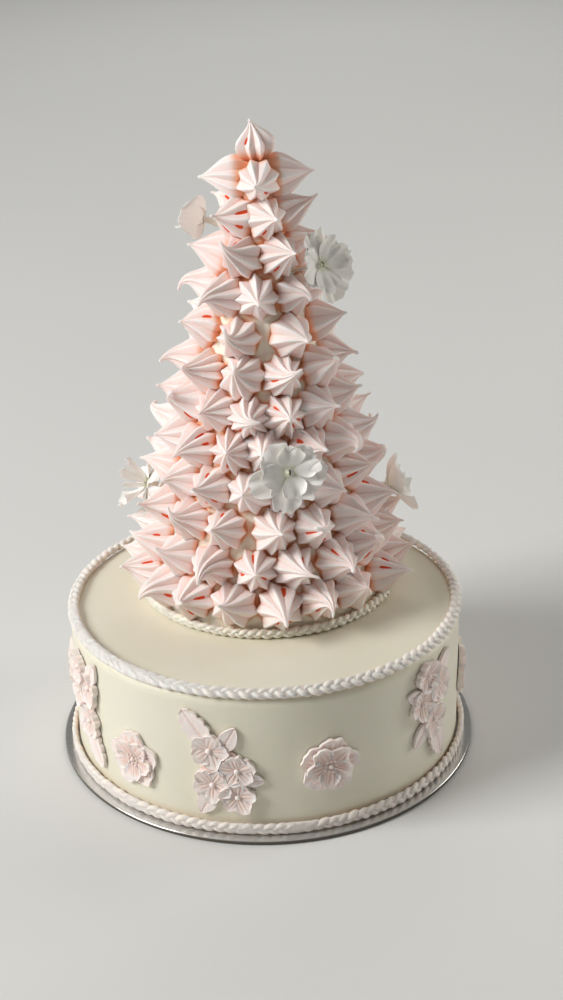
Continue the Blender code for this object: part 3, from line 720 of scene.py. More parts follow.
def kiss_shell(spot, radius, height, sink, bend, draw,
               belly=KISS_BELLY_RISE, foot_share=FOOT_SHARE, curl=1.0):
    """One kiss as a stack of star rings along a bent line, put in place by its frame.

    Foot: the girth times foot_share + (1 - foot_share) sin(pi q / 2), q from 0 to 1.
    Grooves: BELLY_GROOVE deep at the belly, deeper halfway up, and gone at the thread.
    """
    flank = np.concatenate([np.zeros(len(FOOT_STEPS)), FLANK_STEPS])
    angle, length, crest, ridge, offset = star_section(draw, flank)
    rise = np.concatenate([FOOT_STEPS * (belly + sink) - sink,
                           belly + FLANK_STEPS * (height - belly)])
    foot = np.append(FOOT_STEPS, np.ones(len(FLANK_STEPS)))
    swell = foot_share + (1 - foot_share) * np.sin(np.pi / 2 * foot)
    girth = kiss_girth(radius, flank, swell, draw)
    depth = (BELLY_GROOVE * (1 - flank ** 6)
             + FLANK_GROOVE * np.sin(np.pi * np.minimum(flank / 0.9, 1)))
    depth = depth * draw.uniform(*GROOVE_SPREAD)
    section = length * (1 - depth[:, None] * (1 - crest))
    turn = angle + draw.uniform(-MOST_TWIST, MOST_TWIST) * flank[:, None] ** 1.2
    line, tangent = tip_line(rise, flank, bend, curl, draw)
    split = split_marks(ridge, offset, flank, draw)
    reach = girth[:, None] * section - SPLIT_DEPTH * split
    rings = line[:, None] + turned_along(reach * np.cos(turn), reach * np.sin(turn), tangent)
    tip = line[-1] + tangent[-1] * TIP_LENGTH
    # The mark "ridge" carries the painted highlight on the crests and pales the tip.
    shell = ring_stack(rings, (0, 0, -sink), tip,
                       ridge=np.maximum(crest, flank[:, None] ** 3 - 0.05),
                       rise=np.clip(rise / height, 0, 1)[:, None],
                       split=split,
                       tone=draw.uniform(0, 1))
    return in_frame(shell, spot)


print("slimmest and plumpest bell, power:", max(BELL_POWERS), min(BELL_POWERS))

# %% [markdown]
# ## All the kisses
#
# Every kiss gets its own draws, so no two are alike. They are four pieces, each of a few rows,
# which keeps each mesh to a size that is easy to handle. The kiss that stands upright on the tip
# is a piece of its own, and sits a hair above the cone's flat top.

# %% Pipe the kisses
ROW_SPANS = {"lowest_kisses": range(0, 2), "lower_kisses": range(2, 4),
             "middle_kisses": range(4, 7), "upper_kisses": range(7, 12)}
FINE_KISS_SEED = 21
CROWN_SEED = 4
CROWN_TIP = 412.5 * MM
CROWN_FOOT = TOWER_TOP + GAP
CROWN_RADIUS = 10.8 * MM
CROWN_BELLY_RISE = 9.0 * MM
CROWN_FOOT_SHARE = 0.66
CROWN_BEND = (-2.0 * MM, 0.0)
CROWN_CURL = 0.1
CROWN_TILT = math.radians(-4)
CROWN_SPIN = 0.2

kiss_draw = np.random.default_rng(FINE_KISS_SEED)
kisses = [(row, kiss_shell(*kiss, kiss_draw)) for row, *kiss in plan]
for name, rows in ROW_SPANS.items():
    add_piece(name, put_together([shell for row, shell in kisses if row in rows]),
              meringue, ["meringue_tower"])

crown_spot = (Matrix.Translation((*TOWER_AXIS, CROWN_FOOT))
              @ Matrix.Rotation(CROWN_TILT, 4, "Y") @ Matrix.Rotation(CROWN_SPIN, 4, "Z"))
crown = kiss_shell(crown_spot, CROWN_RADIUS, CROWN_TIP - CROWN_FOOT, 0.0, CROWN_BEND,
                   np.random.default_rng(CROWN_SEED), CROWN_BELLY_RISE, CROWN_FOOT_SHARE,
                   CROWN_CURL)
add_piece("top_kiss", crown, meringue, ["crown_kiss"])

# %% [markdown]
# ## Cream
#
# The cream under the kisses shows in the gaps as smooth ivory patches. Each kiss that is pressed
# in pushes up a soft rim of cream round its foot. In the narrow gaps the cream is painted orange,
# as painted shade and as painted light that has gone through pink meringue. The cone is a stack of
# rings; the rims are added to its radius from the distance to each kiss. The mark is high where
# both the nearest kiss and the second nearest are close, which tells a narrow gap from a wide one.

# %% Spread the cream
CREAM_IVORY = (0.97, 0.925, 0.79, 1.0)
# Painted shade and light from the meringue, in the narrow gaps.
CREAM_SHADE_ORANGE = (0.90, 0.43, 0.22, 1.0)
CREAM_GLOW = (0.4, (1.0, 0.7, 0.4), 4.0 * MM)
TOWER_CAP_RADIUS = 5.4 * MM
CREAM_ROWS = 170
CREAM_COLUMNS = 260
CREAM_SWELL = 0.8 * MM
CREAM_WAVE = 0.12 * MM
RIM_RISE = 1.6 * MM
RIM_WIDTH = 2.8 * MM
RIM_SHARE = 1.05
NEAR_SHARE = 0.9
NEAR_FADE = 3.0 * MM
NEAREST_WEIGHT = 0.6
SECOND_WEIGHT = 0.8


def circle(count):
    """Angles of evenly spaced points round a circle."""
    return np.linspace(0, 2 * np.pi, count, endpoint=False)


def spread_points(x, y, z):
    """Points of three coordinates, each spread over the same grid."""
    return np.stack(np.broadcast_arrays(x, y, z), -1)


def round_axis(azimuth, reach, height, centre=(0.0, 0.0)):
    """Points round an upright axis: reach times (sin azimuth, -cos azimuth), at a height."""
    return spread_points(centre[0] + reach * np.sin(azimuth),
                         centre[1] - reach * np.cos(azimuth), height)


def make_cream():
    """Ivory cream, painted orange in the narrow gaps as shade and light from the meringue."""
    material, tree, shader, skin = start_material("cone_cream", 0.5, 60.0, 700.0)
    narrow = reshaped(tree, read_mark(tree, "near"), 0.36, 0.76)
    # Painted shade: orange where the mark "near" is high, in the narrow gaps.
    colour = mixed(tree, narrow, CREAM_IVORY, CREAM_SHADE_ORANGE)
    finish_material(tree, shader, colour, skin.outputs["Drift"], 0.3, 0.6 * MM, CREAM_GLOW)
    return material


def cream_shell(plan):
    """Cone of rings: radius = taper + swell + slow waves + a rim round each kiss's foot.

    The mark is a weighted sum of how close the nearest and the second nearest kiss are.
    """
    azimuth = circle(CREAM_COLUMNS)
    height = np.linspace(CAKE_TOP + GAP, TOWER_NECK_TOP, CREAM_ROWS)[:, None]
    taper = TOWER_FOOT_RADIUS - TOWER_TAPER * (height - CAKE_TOP)
    waves = (np.sin(5 * azimuth + 90 * height) + np.sin(11 * azimuth - 210 * height)
             + np.sin(140 * height))
    radius = np.maximum(taper, TOWER_NECK_RADIUS) + CREAM_SWELL + CREAM_WAVE * waves
    points = round_axis(azimuth, radius, height, TOWER_AXIS)
    rim, nearest, second = np.zeros((3, *radius.shape))
    for _row, spot, girth, *_rest in plan:
        distance = np.linalg.norm(points - np.array(spot.translation), axis=-1)
        rim = np.maximum(rim, np.exp(-((distance - RIM_SHARE * girth) / RIM_WIDTH) ** 2))
        close = np.exp(-np.clip(distance - NEAR_SHARE * girth, 0, None) / NEAR_FADE)
        second = np.maximum(second, np.minimum(nearest, close))
        nearest = np.maximum(nearest, close)
    # The mark "near" drives the painted shade in the narrow gaps.
    near = NEAREST_WEIGHT * nearest + SECOND_WEIGHT * second
    flank = round_axis(azimuth, radius + RIM_RISE * rim, height, TOWER_AXIS)
    cap = round_axis(azimuth, TOWER_CAP_RADIUS, TOWER_TOP, TOWER_AXIS)[None]
    return ring_stack(np.concatenate([flank, cap]), (*TOWER_AXIS, CAKE_TOP + GAP),
                      (*TOWER_AXIS, TOWER_TOP), near=np.concatenate([near, near[-1:]]))


add_piece("cone_of_cream", cream_shell(plan), make_cream(), ["meringue_tower"])

# %% [markdown]
# ## White blossoms
#
# The blossoms are thin white petals, wavy at the rim and overlapping, round a yellow-green
# throat with a slit painted dark as the shade inside it. Each petal is a function of two shares,
# along and across, and gets its thickness from its own normals.

# %% Petals
NO_FANS = np.zeros((0, 3), int)
PETAL_SKIN = 0.35 * MM
PETAL_ROWS = 13
PETAL_COLUMNS = 23


def slab(front, back, **marks):
    """Closed thin piece between two open grids (rows, columns, 3), joined round the border."""
    rows, columns = front.shape[:2]
    count = rows * columns
    index = np.arange(count).reshape(rows, columns)
    cells = np.stack([index[:-1, :-1], index[:-1, 1:], index[1:, 1:], index[1:, :-1]], -1)
    cells = cells.reshape(-1, 4)
    rim = np.concatenate([index[0, :-1], index[:-1, -1], index[-1, :0:-1], index[:0:-1, 0]])
    after = np.roll(rim, -1)
    border = np.stack([rim, rim + count, after + count, after], -1)
    quads = np.concatenate([cells, cells[:, ::-1] + count, border])
    points = np.concatenate([front.reshape(-1, 3), back.reshape(-1, 3)])
    values = {}
    for name, mark in marks.items():
        values[name] = np.tile(np.broadcast_to(mark, (rows, columns)).ravel(), 2)
    return outward(points, quads, NO_FANS, values)


def turned(along, across, way):
    """Turn two lengths in the plane by an angle: (a cos - b sin, a sin + b cos)."""
    return (along * math.cos(way) - across * math.sin(way),
            along * math.sin(way) + across * math.cos(way))


def thin(front, thickness):
    """Back of a thin piece: the front moved by the thickness along its normal.

    The normal is the cross product of the grid's two gradients.
    """
    normal = np.cross(np.gradient(front, axis=0), np.gradient(front, axis=1))
    normal /= np.maximum(np.linalg.norm(normal, axis=-1, keepdims=True), 1e-12)
    return front - normal * thickness


def petal_shell(way, foot, reach, half_width, foot_rise, rim_rise, ruffle, draw, round_tip=0.0):
    """One wavy petal, from its foot to its ragged rim, in the blossom's frame.

    Along: foot + (reach - foot) t (1 - 0.34 |s|^3 t), less the rags and one notch at the rim.
    Across: s times the half width times 0.22 + 0.78 sin(pi / 2 min(t / 0.68, 1))^0.9, less the
    round tip's share of it as t^5.
    Rise: from the foot's to the rim's as t^1.5, less the round tip's share of it as |s|^3, with
    ruffles that grow as t^2, raised sides, and a rim that rolls back over its last third.
    """
    t = np.linspace(0, 1, PETAL_ROWS)[:, None]
    s = np.linspace(-1, 1, PETAL_COLUMNS)[None, :]
    side = np.abs(s)
    phase = draw.uniform(0, 2 * np.pi, 5)
    notch = draw.uniform(-0.5, 0.5)
    rag = (0.035 * np.sin(5 * s + phase[0]) + 0.025 * np.sin(11 * s + phase[1])
           + 0.012 * np.sin(21 * s + phase[2]))
    rag = rag - draw.uniform(0.03, 0.10) * np.exp(-((s - notch) / 0.12) ** 2)
    along = foot + (reach - foot) * t * (1 - 0.34 * side ** 3 * t + rag * t ** 3)
    across = s * half_width * (0.22 + 0.78 * np.sin(np.pi / 2 * np.minimum(t / 0.68, 1)) ** 0.9)
    across = across * (1 - round_tip * t ** 5) + 0.12 * half_width * math.sin(phase[3]) * t ** 2
    wave = np.sin(2.6 * s + phase[3]) + 0.55 * np.sin(6.5 * s + phase[4])
    roll = draw.uniform(0.1, 0.9) * ruffle * np.clip((t - 0.66) / 0.34, 0, 1) ** 2
    rise = foot_rise + (rim_rise - foot_rise) * t ** 1.5 * (1 - round_tip * side ** 3) - roll
    rise = rise + ruffle * (wave * t ** 2 + 0.7 * s ** 2 * t)
    front = spread_points(*turned(along, across, way), rise)
    # The mark "rim" carries a painted highlight along the petal's edge.
    return slab(front, thin(front, PETAL_SKIN),
                vein=np.abs(np.sin(9 * s)) ** 3 * t,
                green=np.clip(1 - t / 0.36, 0, 1) ** 1.5,
                rim=np.maximum(t, side * np.minimum(2 * t, 1)) ** 14,
                dark=0.0)


print("a petal has", 2 * PETAL_ROWS * PETAL_COLUMNS, "points")

# %% [markdown]
# The five blossoms that the viewer sees have their petals listed one by one; the others follow a
# rule. The third is half closed, and shows the back of one broad round petal. Each blossom sits
# on a pale stem that goes into the cream, and beside its slit stands a green lobe.

# %% Blossom with its stem
# For each petal: its way in degrees from the right, its reach and half width as shares of the
# blossom's reach, and how far its rim is raised, in millimetres.
RULE_PETALS = ((0, 1.0, 0.50, 0), (72, 0.96, 0.48, 0), (144, 1.0, 0.50, 0), (216, 0.96, 0.48, 0),
               (288, 1.0, 0.50, 0), (40, 0.72, 0.38, 3), (130, 0.68, 0.38, 3),
               (220, 0.74, 0.38, 3), (310, 0.7, 0.38, 3))
LISTED_PETALS = {
    1: ((196, 1.10, 0.36, 0), (254, 1.04, 0.40, 0), (309, 0.86, 0.36, 0.5), (2, 0.98, 0.34, 0),
        (43, 0.80, 0.44, 1), (136, 0.84, 0.46, 1), (184, 0.76, 0.30, 2), (84, 0.66, 0.34, 2),
        (286, 0.66, 0.32, 1.2), (20, 0.74, 0.32, 1.5)),
    2: ((114, 1.04, 0.34, 0), (82, 1.0, 0.34, -1), (54, 0.86, 0.34, 3), (13, 1.04, 0.36, 2),
        (-31, 1.16, 0.50, 0), (-68, 1.26, 0.40, -3), (-98, 0.80, 0.34, 2.5), (180, 0.76, 0.46, 1),
        (222, 0.78, 0.40, 0.5), (140, 0.8, 0.34, 1)),
    3: ((12, 0.70, 0.90, 18.5), (-80, 0.50, 0.44, 12), (110, 0.45, 0.44, 6), (165, 0.42, 0.44, 4),
        (225, 0.42, 0.44, 3)),
    4: ((95, 1.12, 0.30, -8), (62, 0.95, 0.36, -15), (-48, 0.95, 0.38, -16), (-85, 1.1, 0.28, -11),
        (78, 0.80, 0.17, 6), (40, 0.5, 0.17, 9), (-60, 0.95, 0.22, 4), (-95, 1.22, 0.24, 5),
        (-30, 0.4, 0.14, 5), (205, 0.7, 0.28, -5), (150, 0.7, 0.28, -5)),
    5: ((118, 1.06, 0.56, -1), (238, 1.10, 0.58, 3), (180, 0.72, 0.40, 1), (60, 0.9, 0.45, 0),
        (300, 0.95, 0.45, 2), (0, 0.8, 0.40, 0)),
}
FLOWER_TURN = 17
CLOSED_BLOSSOM = 3
CLOSED_RUFFLE = 0.35
ROUND_TIP = 0.4
LOW_FOOT = 5.5 * MM
PETAL_FOOT = 1.6 * MM
WAY_SLIP = 0.06
REACH_SPREAD = (0.96, 1.02)
RIM_SLIP = 0.8
RUFFLES = (1.0, 1.9)
BLOSSOM_SEED = 100
# Profiles of turned pieces: pairs of radius and rise in millimetres.
STEM_PROFILE = ((0, 0.3), (1.3, 0.3), (1.3, 4), (1.5, 10), (1.8, 14))
CALYX_PROFILE = ((0, -1.2), (2.6, -1.0), (4.4, -0.2), (4.2, 0.8), (2.0, 1.6), (0, 1.2))
LOBE_PROFILE = ((0, 0.8), (0.5, 1.0), (0.85, 2.0), (0.8, 3.0), (0.4, 3.7), (0, 3.9))


def turned_piece(profile, columns=16, centre=(0.0, 0.0), squash=1.0, **marks):
    """Stack of rings from (radius, rise) pairs; the first and last give the poles' rise."""
    radius, rise = np.array(profile).T[..., None]
    x = centre[0] + radius * np.cos(circle(columns))
    y = centre[1] + squash * radius * np.sin(circle(columns))
    rings = spread_points(x, y, rise)[1:-1]
    return ring_stack(rings, (*centre, *rise[0]), (*centre, *rise[-1]), **marks)


def in_mm(profile):
    """Give the pairs of a profile in millimetres as metres."""
    return [(radius * MM, rise * MM) for radius, rise in profile]


def plain(green, dark=0.0):
    """Marks of a part without veins and rim."""
    return {"green": green, "vein": 0.0, "rim": 0.0, "dark": dark}


def blossom_shell(number, azimuth, height, reach, stand_off, petal_rise, face, draw):
    """A whole blossom: stem, calyx, petals, the slit painted dark as shade, and the lobe beside it.
    """
    turn = 0 if number in LISTED_PETALS else math.radians(FLOWER_TURN * number)
    closed = number == CLOSED_BLOSSOM
    stem = in_mm(STEM_PROFILE) + [(2.2 * MM, stand_off - 1.2 * MM), (0, stand_off)]
    blossom = [turned_piece(in_mm(CALYX_PROFILE), **plain(0.25))]
    for way, share, width, raised in LISTED_PETALS.get(number, RULE_PETALS):
        lift = (min(max(0.35 * raised, 0), 1) + draw.uniform(0.3, 0.8)) * MM - LOW_FOOT * closed
        rim = petal_rise + (raised + draw.uniform(-RIM_SLIP, RIM_SLIP)) * MM
        way = math.radians(way) + draw.uniform(-WAY_SLIP, WAY_SLIP)
        length = share * reach * draw.uniform(*REACH_SPREAD)
        ruffle = draw.uniform(*RUFFLES) * MM * (CLOSED_RUFFLE if closed else 1.0)
        blossom.append(petal_shell(way, PETAL_FOOT, length, width * reach, lift, rim, ruffle,
                                   draw, ROUND_TIP * closed))
    lobe = in_mm(LOBE_PROFILE)
    slit = [(0.55 * radius, 0.9 * rise) for radius, rise in lobe]
    blossom.append(turned_piece(lobe, 10, (-0.8 * MM, 0.0), 1.7, **plain(0.8)))
    # A thin piece painted near black stands for the shade inside the throat's slit.
    blossom.append(turned_piece(slit, 10, (0.35 * MM, 0.0), 4.2, **plain(1.0, 1.0)))
    head = head_frame(azimuth, height, stand_off, face) @ Matrix.Rotation(turn, 4, "Z")
    return put_together([in_frame(turned_piece(stem, **plain(0.25)), tower_frame(azimuth, height)),
                         *(in_frame(shell, head) for shell in blossom)])


print("listed petals:", {number: len(LISTED_PETALS[number]) for number in LISTED_PETALS})

# %% [markdown]
# Petals are white with faint veins and a rim that is painted paler as a highlight, and light passes
# through them. It passes most through the third blossom, whose petals stand up against it, so that
# has a finish of its own.

# %% Grow the blossoms
PETAL_WHITE = (0.97, 0.94, 0.88, 1.0)
# Painted highlight along the petals' rims.
PETAL_RIM_HIGHLIGHT = (0.985, 0.965, 0.93, 1.0)
PETAL_VEIN = (0.88, 0.86, 0.78, 1.0)
THROAT_GREEN = (0.70, 0.72, 0.46, 1.0)
# Painted shade in the throat's slit.
SLIT_SHADE_DARK = (0.03, 0.04, 0.02, 1.0)


def make_petal_material(name, translucent, depth):
    """White petals with faint veins, a rim painted paler as highlight, green in the throat, painted
    shade in the slit.
    """
    material, tree, shader, skin = start_material(name, 0.5, 120.0, 500.0)
    veined = mixed(tree, reshaped(tree, read_mark(tree, "vein"), 0.4, 1.6), PETAL_WHITE, PETAL_VEIN)
    # Painted highlight: the rim turns paler.
    white = mixed(tree, reshaped(tree, read_mark(tree, "rim"), 0.35, 1.0), veined, PETAL_RIM_HIGHLIGHT)
    green = mixed(tree, reshaped(tree, read_mark(tree, "green"), 0.0, 1.0), white, THROAT_GREEN)
    # Painted shade where the mark "dark" is set, in the slit.
    colour = mixed(tree, read_mark(tree, "dark"), green, SLIT_SHADE_DARK)
    glow = (translucent, (1.0, 0.97, 0.87), depth)
    finish_material(tree, shader, colour, skin.outputs["Drift"], 0.35, 0.5 * MM, glow)
    return material


petal_material = make_petal_material("white_petal", 0.3, 1.0 * MM)
thin_petal = make_petal_material("thin_white_petal", 0.6, 2.0 * MM)
for number, flower in enumerate(FLOWERS, start=1):
    shell = blossom_shell(number, *flower, np.random.default_rng(BLOSSOM_SEED + number))
    finish = thin_petal if number == CLOSED_BLOSSOM else petal_material
    add_piece(f"white_blossom_{number}", shell, finish, [f"white_flower_{number}"],
              crease=60)

# %% [markdown]
# ## Covered cake
#
# The covering is rolled icing, smoothed by hand: a straight wall, a soft top edge, and a skin
# that is a touch uneven, with a few small dimples. A profile of radius and height is carried
# round, and slow waves and dimples are added to it as a field over the azimuth and the height.

# %% Cover the cake
COVERING_IVORY = (0.80, 0.765, 0.62, 1.0)
COVERING_PALE = (0.82, 0.79, 0.66, 1.0)
COVERING_GLOW = (0.15, (1.0, 0.7, 0.4), 3.0 * MM)
BOARD_THICKNESS = 2.5 * MM
CAKE_RADIUS = 129.5 * MM
CAKE_EDGE = 8.0 * MM
COVERING_COLUMNS = 300
WALL_ROWS = 30
EDGE_ROWS = 8
UNEVENNESS = 0.06 * MM
# For each dimple: azimuth in degrees, then height, width and depth in millimetres.
DIMPLES = ((7, 72, 1.6, 0.5), (-1, 70, 1.0, 0.6), (30, 84, 2.2, 0.35), (-24, 80, 2.4, 0.3),
           (62, 30, 1.5, 0.5), (100, 70, 2.0, 0.4), (-150, 55, 1.8, 0.5), (170, 80, 2.4, 0.4))


def make_covering():
    """Satin ivory icing whose tone drifts slowly."""
    material, tree, shader, skin = start_material("ivory_covering", 0.42, 14.0, 420.0)
    drift = reshaped(tree, skin.outputs["Drift"], 0.3, 0.7)
    colour = mixed(tree, drift, COVERING_IVORY, COVERING_PALE)
    finish_material(tree, shader, colour, skin.outputs["Grain"], 0.12, 0.3 * MM, COVERING_GLOW)
    return material


def angle_aside(azimuth, middle):
    """Angle from a middle given in degrees, between half a turn back and half a turn on."""
    return np.remainder(azimuth - math.radians(middle) + np.pi, 2 * np.pi) - np.pi


def covering_shell():
    """Rings along the profile: wall, quarter round of CAKE_EDGE, and top, all slightly sunken."""
    foot = BOARD_THICKNESS + GAP
    turn = np.linspace(0, np.pi / 2, EDGE_ROWS + 1)[1:]
    edge_radius, edge_height = CAKE_RADIUS - CAKE_EDGE, CAKE_TOP - CAKE_EDGE
    radius = np.concatenate([np.full(WALL_ROWS, CAKE_RADIUS),
                             edge_radius + CAKE_EDGE * np.cos(turn),
                             np.linspace(edge_radius, 4 * MM, WALL_ROWS)[1:]])
    height = np.concatenate([np.linspace(foot, edge_height, WALL_ROWS),
                             edge_height + CAKE_EDGE * np.sin(turn),
                             np.full(WALL_ROWS - 1, CAKE_TOP)])
    azimuth, radius, height = circle(COVERING_COLUMNS), radius[:, None], height[:, None]
    wave = (np.sin(3 * azimuth + 40 * height) + np.sin(8 * azimuth - 70 * height)
            + np.sin(5 * azimuth + 130 * radius))
    sunken = UNEVENNESS * (wave - 3)
    for spot, rise, width, depth in DIMPLES:
        aside = CAKE_RADIUS * angle_aside(azimuth, spot)
        distance = np.hypot(aside, height - rise * MM) / (width * MM)
        sunken = sunken - depth * MM * np.exp(-distance ** 2)
    steep = np.clip((CAKE_TOP - height) / CAKE_EDGE, 0, 1)
    points = round_axis(azimuth, radius + sunken * steep, height + sunken * (1 - steep))
    return ring_stack(points, (0, 0, foot), (0, 0, CAKE_TOP - 0.2 * MM))


add_piece("cake_covering", covering_shell(), make_covering(), ["base_cake"])

# %% [markdown]
# ## Silver board
#
# The board is card under silver foil. Its top reflects softly and unevenly, and its edge shows
# the dark brown card where the foil ends. It is a profile turned round, with a mark for the edge.

# %% Make the board
BOARD_RADIUS = 139.7 * MM
BOARD_CORNER = 0.35 * MM
BOARD_COLUMNS = 256
FOIL_SILVER = (0.78, 0.785, 0.78, 1.0)
CARD_BROWN = (0.085, 0.068, 0.05, 1.0)
FOIL_METAL = 0.9


def make_board_material():
    """Soft silver foil with bare brown card along the edge."""
    material, tree, shader, skin = start_material("silver_foil", 0.34, 25.0, 600.0)
    edge = read_mark(tree, "edge")
    metal = worked_out(tree, "SUBTRACT", FOIL_METAL, edge)
    tree.links.new(metal, shader.inputs["Metallic"])
    rough = add_node(tree, "ShaderNodeMapRange", {
        "Value": skin.outputs["Drift"], "To Min": 0.16, "To Max": 0.30})
    tree.links.new(rough.outputs["Result"], shader.inputs["Roughness"])
    colour = mixed(tree, edge, FOIL_SILVER, CARD_BROWN)
    finish_material(tree, shader, colour, skin.outputs["Grain"], 0.2, 0.1 * MM)
    return material


def board_shell():
    """Turned profile with small corners: reach in from the rim, height and mark for each ring."""
    top = BOARD_THICKNESS
    inner = BOARD_RADIUS - 60 * MM
    inward, height, edge = np.array([
        (inner, 0, 0.0), (BOARD_CORNER, 0, 0.6), (0, BOARD_CORNER, 1.0),
        (0, top - BOARD_CORNER, 1.0), (BOARD_CORNER, top, 0.1), (1.5 * MM, top, 0.0),
        (2.2 * MM, top, 0.0), (inner, top, 0.0)]).T[..., None]
    rings = round_axis(circle(BOARD_COLUMNS), BOARD_RADIUS - inward, height)
    return ring_stack(rings, (0, 0, 0), (0, 0, top), edge=edge)


add_piece("silver_board", board_shell(), make_board_material(), ["cake_board"],
          crease=40)

# %% [markdown]
# ## Icing braids
#
# Three braids of icing trim the cake: on its top edge, round its foot and round the tower's
# foot. A plait is three strands on the same figure-of-eight path, each a third of a period behind
# the last. Each strand is an oval ring carried along that path, and a flat core closes the
# small gaps between them. Made by hand, the stitches vary in length and thickness, and the icing
# is a little lumpy. Where a braid was pressed on harder, at the front left, the core is thicker
# and the stitches are nearly lost in it.

# %% Strands and braids
SECTION_POINTS = 10
STITCH_SLIP = 0.35
STITCH_SPREAD = (0.82, 1.16)
SWING_SPREAD = 0.06
SWING_WIDE = 0.46
SWING_DEEP = 0.30
STRAND_WIDE = 0.52
STRAND_DEEP = 0.66
RINGS_PER_PERIOD = 24


def ring_loop(rings, **marks):
    """Shell of closed rings (rows, columns, 3) whose last ring joins to the first."""
    rows, columns = rings.shape[:2]
    index = np.arange(rows * columns).reshape(rows, columns)
    beside = np.roll(index, -1, axis=1)
    following = np.roll(index, -1, axis=0)
    corner = np.roll(beside, -1, axis=0)
    quads = np.stack([index, beside, corner, following], -1).reshape(-1, 4)
    values = {name: np.broadcast_to(mark, (rows, columns)).ravel() for name, mark in marks.items()}
    return outward(rings.reshape(-1, 3), quads, NO_FANS, values)


def uneven(around, amount, draw):
    """Slow random variation round a circle: 1 plus a sum of sines of 2 to 9 waves each turn."""
    waves = np.arange(2, 10)[:, None]
    phase = draw.uniform(0, 2 * np.pi, len(waves))[:, None]
    return 1 + amount * np.sin(waves * around + phase).sum(0) / math.sqrt(len(waves))


def pressed(around, least, spans):
    """Share of pressing round a circle: at least the least, and a bell over each span.

    A span is its middle and half width in degrees.
    """
    share = np.zeros_like(around)
    for middle, half in spans:
        aside = angle_aside(around, middle) / math.radians(half)
        share = np.maximum(share, np.clip(1.6 * np.exp(-aside ** 2), 0, 1))
    return least + (1 - least) * share


def strand_rings(ring, sizes, periods, phase, draw):
    """Rings of one strand of a plait that goes round a circle.

    Across the braid it swings as sin p, and in and out as sin 2p, where p is the phase; the
    section is an oval. Each stitch has its own thickness. The sizes are the swings and half
    sizes, across and in depth, each for every step round the circle.
    """
    radius, height, lean, centre, around = ring
    swing_wide, swing_deep, half_wide, half_deep = sizes
    section = circle(SECTION_POINTS)
    slip = uneven(around, STITCH_SLIP, np.random.default_rng(periods)) - 1
    p = periods * around + phase + 1.5 * slip
    stitches = 2 * periods
    girths = draw.uniform(*STITCH_SPREAD, stitches)
    thick = np.interp(p / np.pi % stitches, np.arange(stitches), girths, period=stitches)
    wide = (swing_wide * np.sin(p))[:, None] + (half_wide * thick)[:, None] * np.cos(section)
    deep = (swing_deep * np.sin(2 * p))[:, None] + (half_deep * thick)[:, None] * np.sin(section)
    outwards, upwards = turned(deep, wide, lean)
    return round_axis(around[:, None], radius + outwards, height + upwards, centre), deep


def braid_shell(radius, height, half_width, half_depth, turn, pitch, least, spans,
                centre=(0.0, 0.0)):
    """Three strands and the flat core of one braid, with the core thicker where it is pressed."""
    periods = round(2 * math.pi * radius / (3 * pitch))
    draw = np.random.default_rng(periods)
    around = circle(RINGS_PER_PERIOD * periods)
    ring = (radius, height, math.radians(turn), centre, around)
    flat = pressed(around, least, spans)
    swing = uneven(around, SWING_SPREAD, draw)
    sizes = (SWING_WIDE * half_width * swing, SWING_DEEP * half_depth * (1 - 0.7 * flat),
             STRAND_WIDE * half_width, STRAND_DEEP * half_depth * (1 + 0.1 * flat))
    full = (SWING_DEEP + STRAND_DEEP) * half_depth
    shells = []
    for strand in range(3):
        points, deep = strand_rings(ring, sizes, periods, 2 * math.pi * strand / 3, draw)
        # The mark "proud" drives painted shade: low where a strand dips in, higher where pressed
        # flat.
        shells.append(ring_loop(points, proud=0.3 + 0.7 * deep / full + 0.3 * flat[:, None]))
    sizes = (0, 0, (0.76 + 0.16 * flat) * half_width, (0.52 + 0.24 * flat) * half_depth)
    core, _deep = strand_rings(ring, sizes, periods, 0.0, draw)
    shells.append(ring_loop(core, proud=0.8 * flat[:, None]))
    return put_together(shells)


print("rings in one period of a plait:", RINGS_PER_PERIOD)

# %% [markdown]
# The braid on the top edge leans outwards on the rounded corner. The one round the foot stands
# upright on the board and is a little pinker, and the ivory one round the tower is the lumpiest.

# %% Plait the braids
# Each hollow colour below is painted shade, used where the mark "proud" is low.
BRAID_PINK = (0.94, 0.86, 0.79, 1.0)
BRAID_HOLLOW_SHADE = (0.83, 0.68, 0.58, 1.0)
FOOT_PINK = (0.98, 0.85, 0.765, 1.0)
FOOT_HOLLOW_SHADE = (0.90, 0.66, 0.54, 1.0)
BRAID_IVORY = (0.97, 0.89, 0.76, 1.0)
BRAID_IVORY_HOLLOW_SHADE = (0.92, 0.74, 0.53, 1.0)
BRAID_GLOW = (0.3, (1.0, 0.6, 0.45), 2.0 * MM)
LUMP_SCALE = 260.0
LUMP_DEPTH = 1.2 * MM
EDGE_LEAN = 60
EDGE_OFF = CAKE_EDGE + GAP + 2.9 * MM
EDGE_RADIUS = CAKE_RADIUS - CAKE_EDGE + EDGE_OFF * math.cos(math.radians(EDGE_LEAN))
EDGE_HEIGHT = CAKE_TOP - CAKE_EDGE + EDGE_OFF * math.sin(math.radians(EDGE_LEAN))
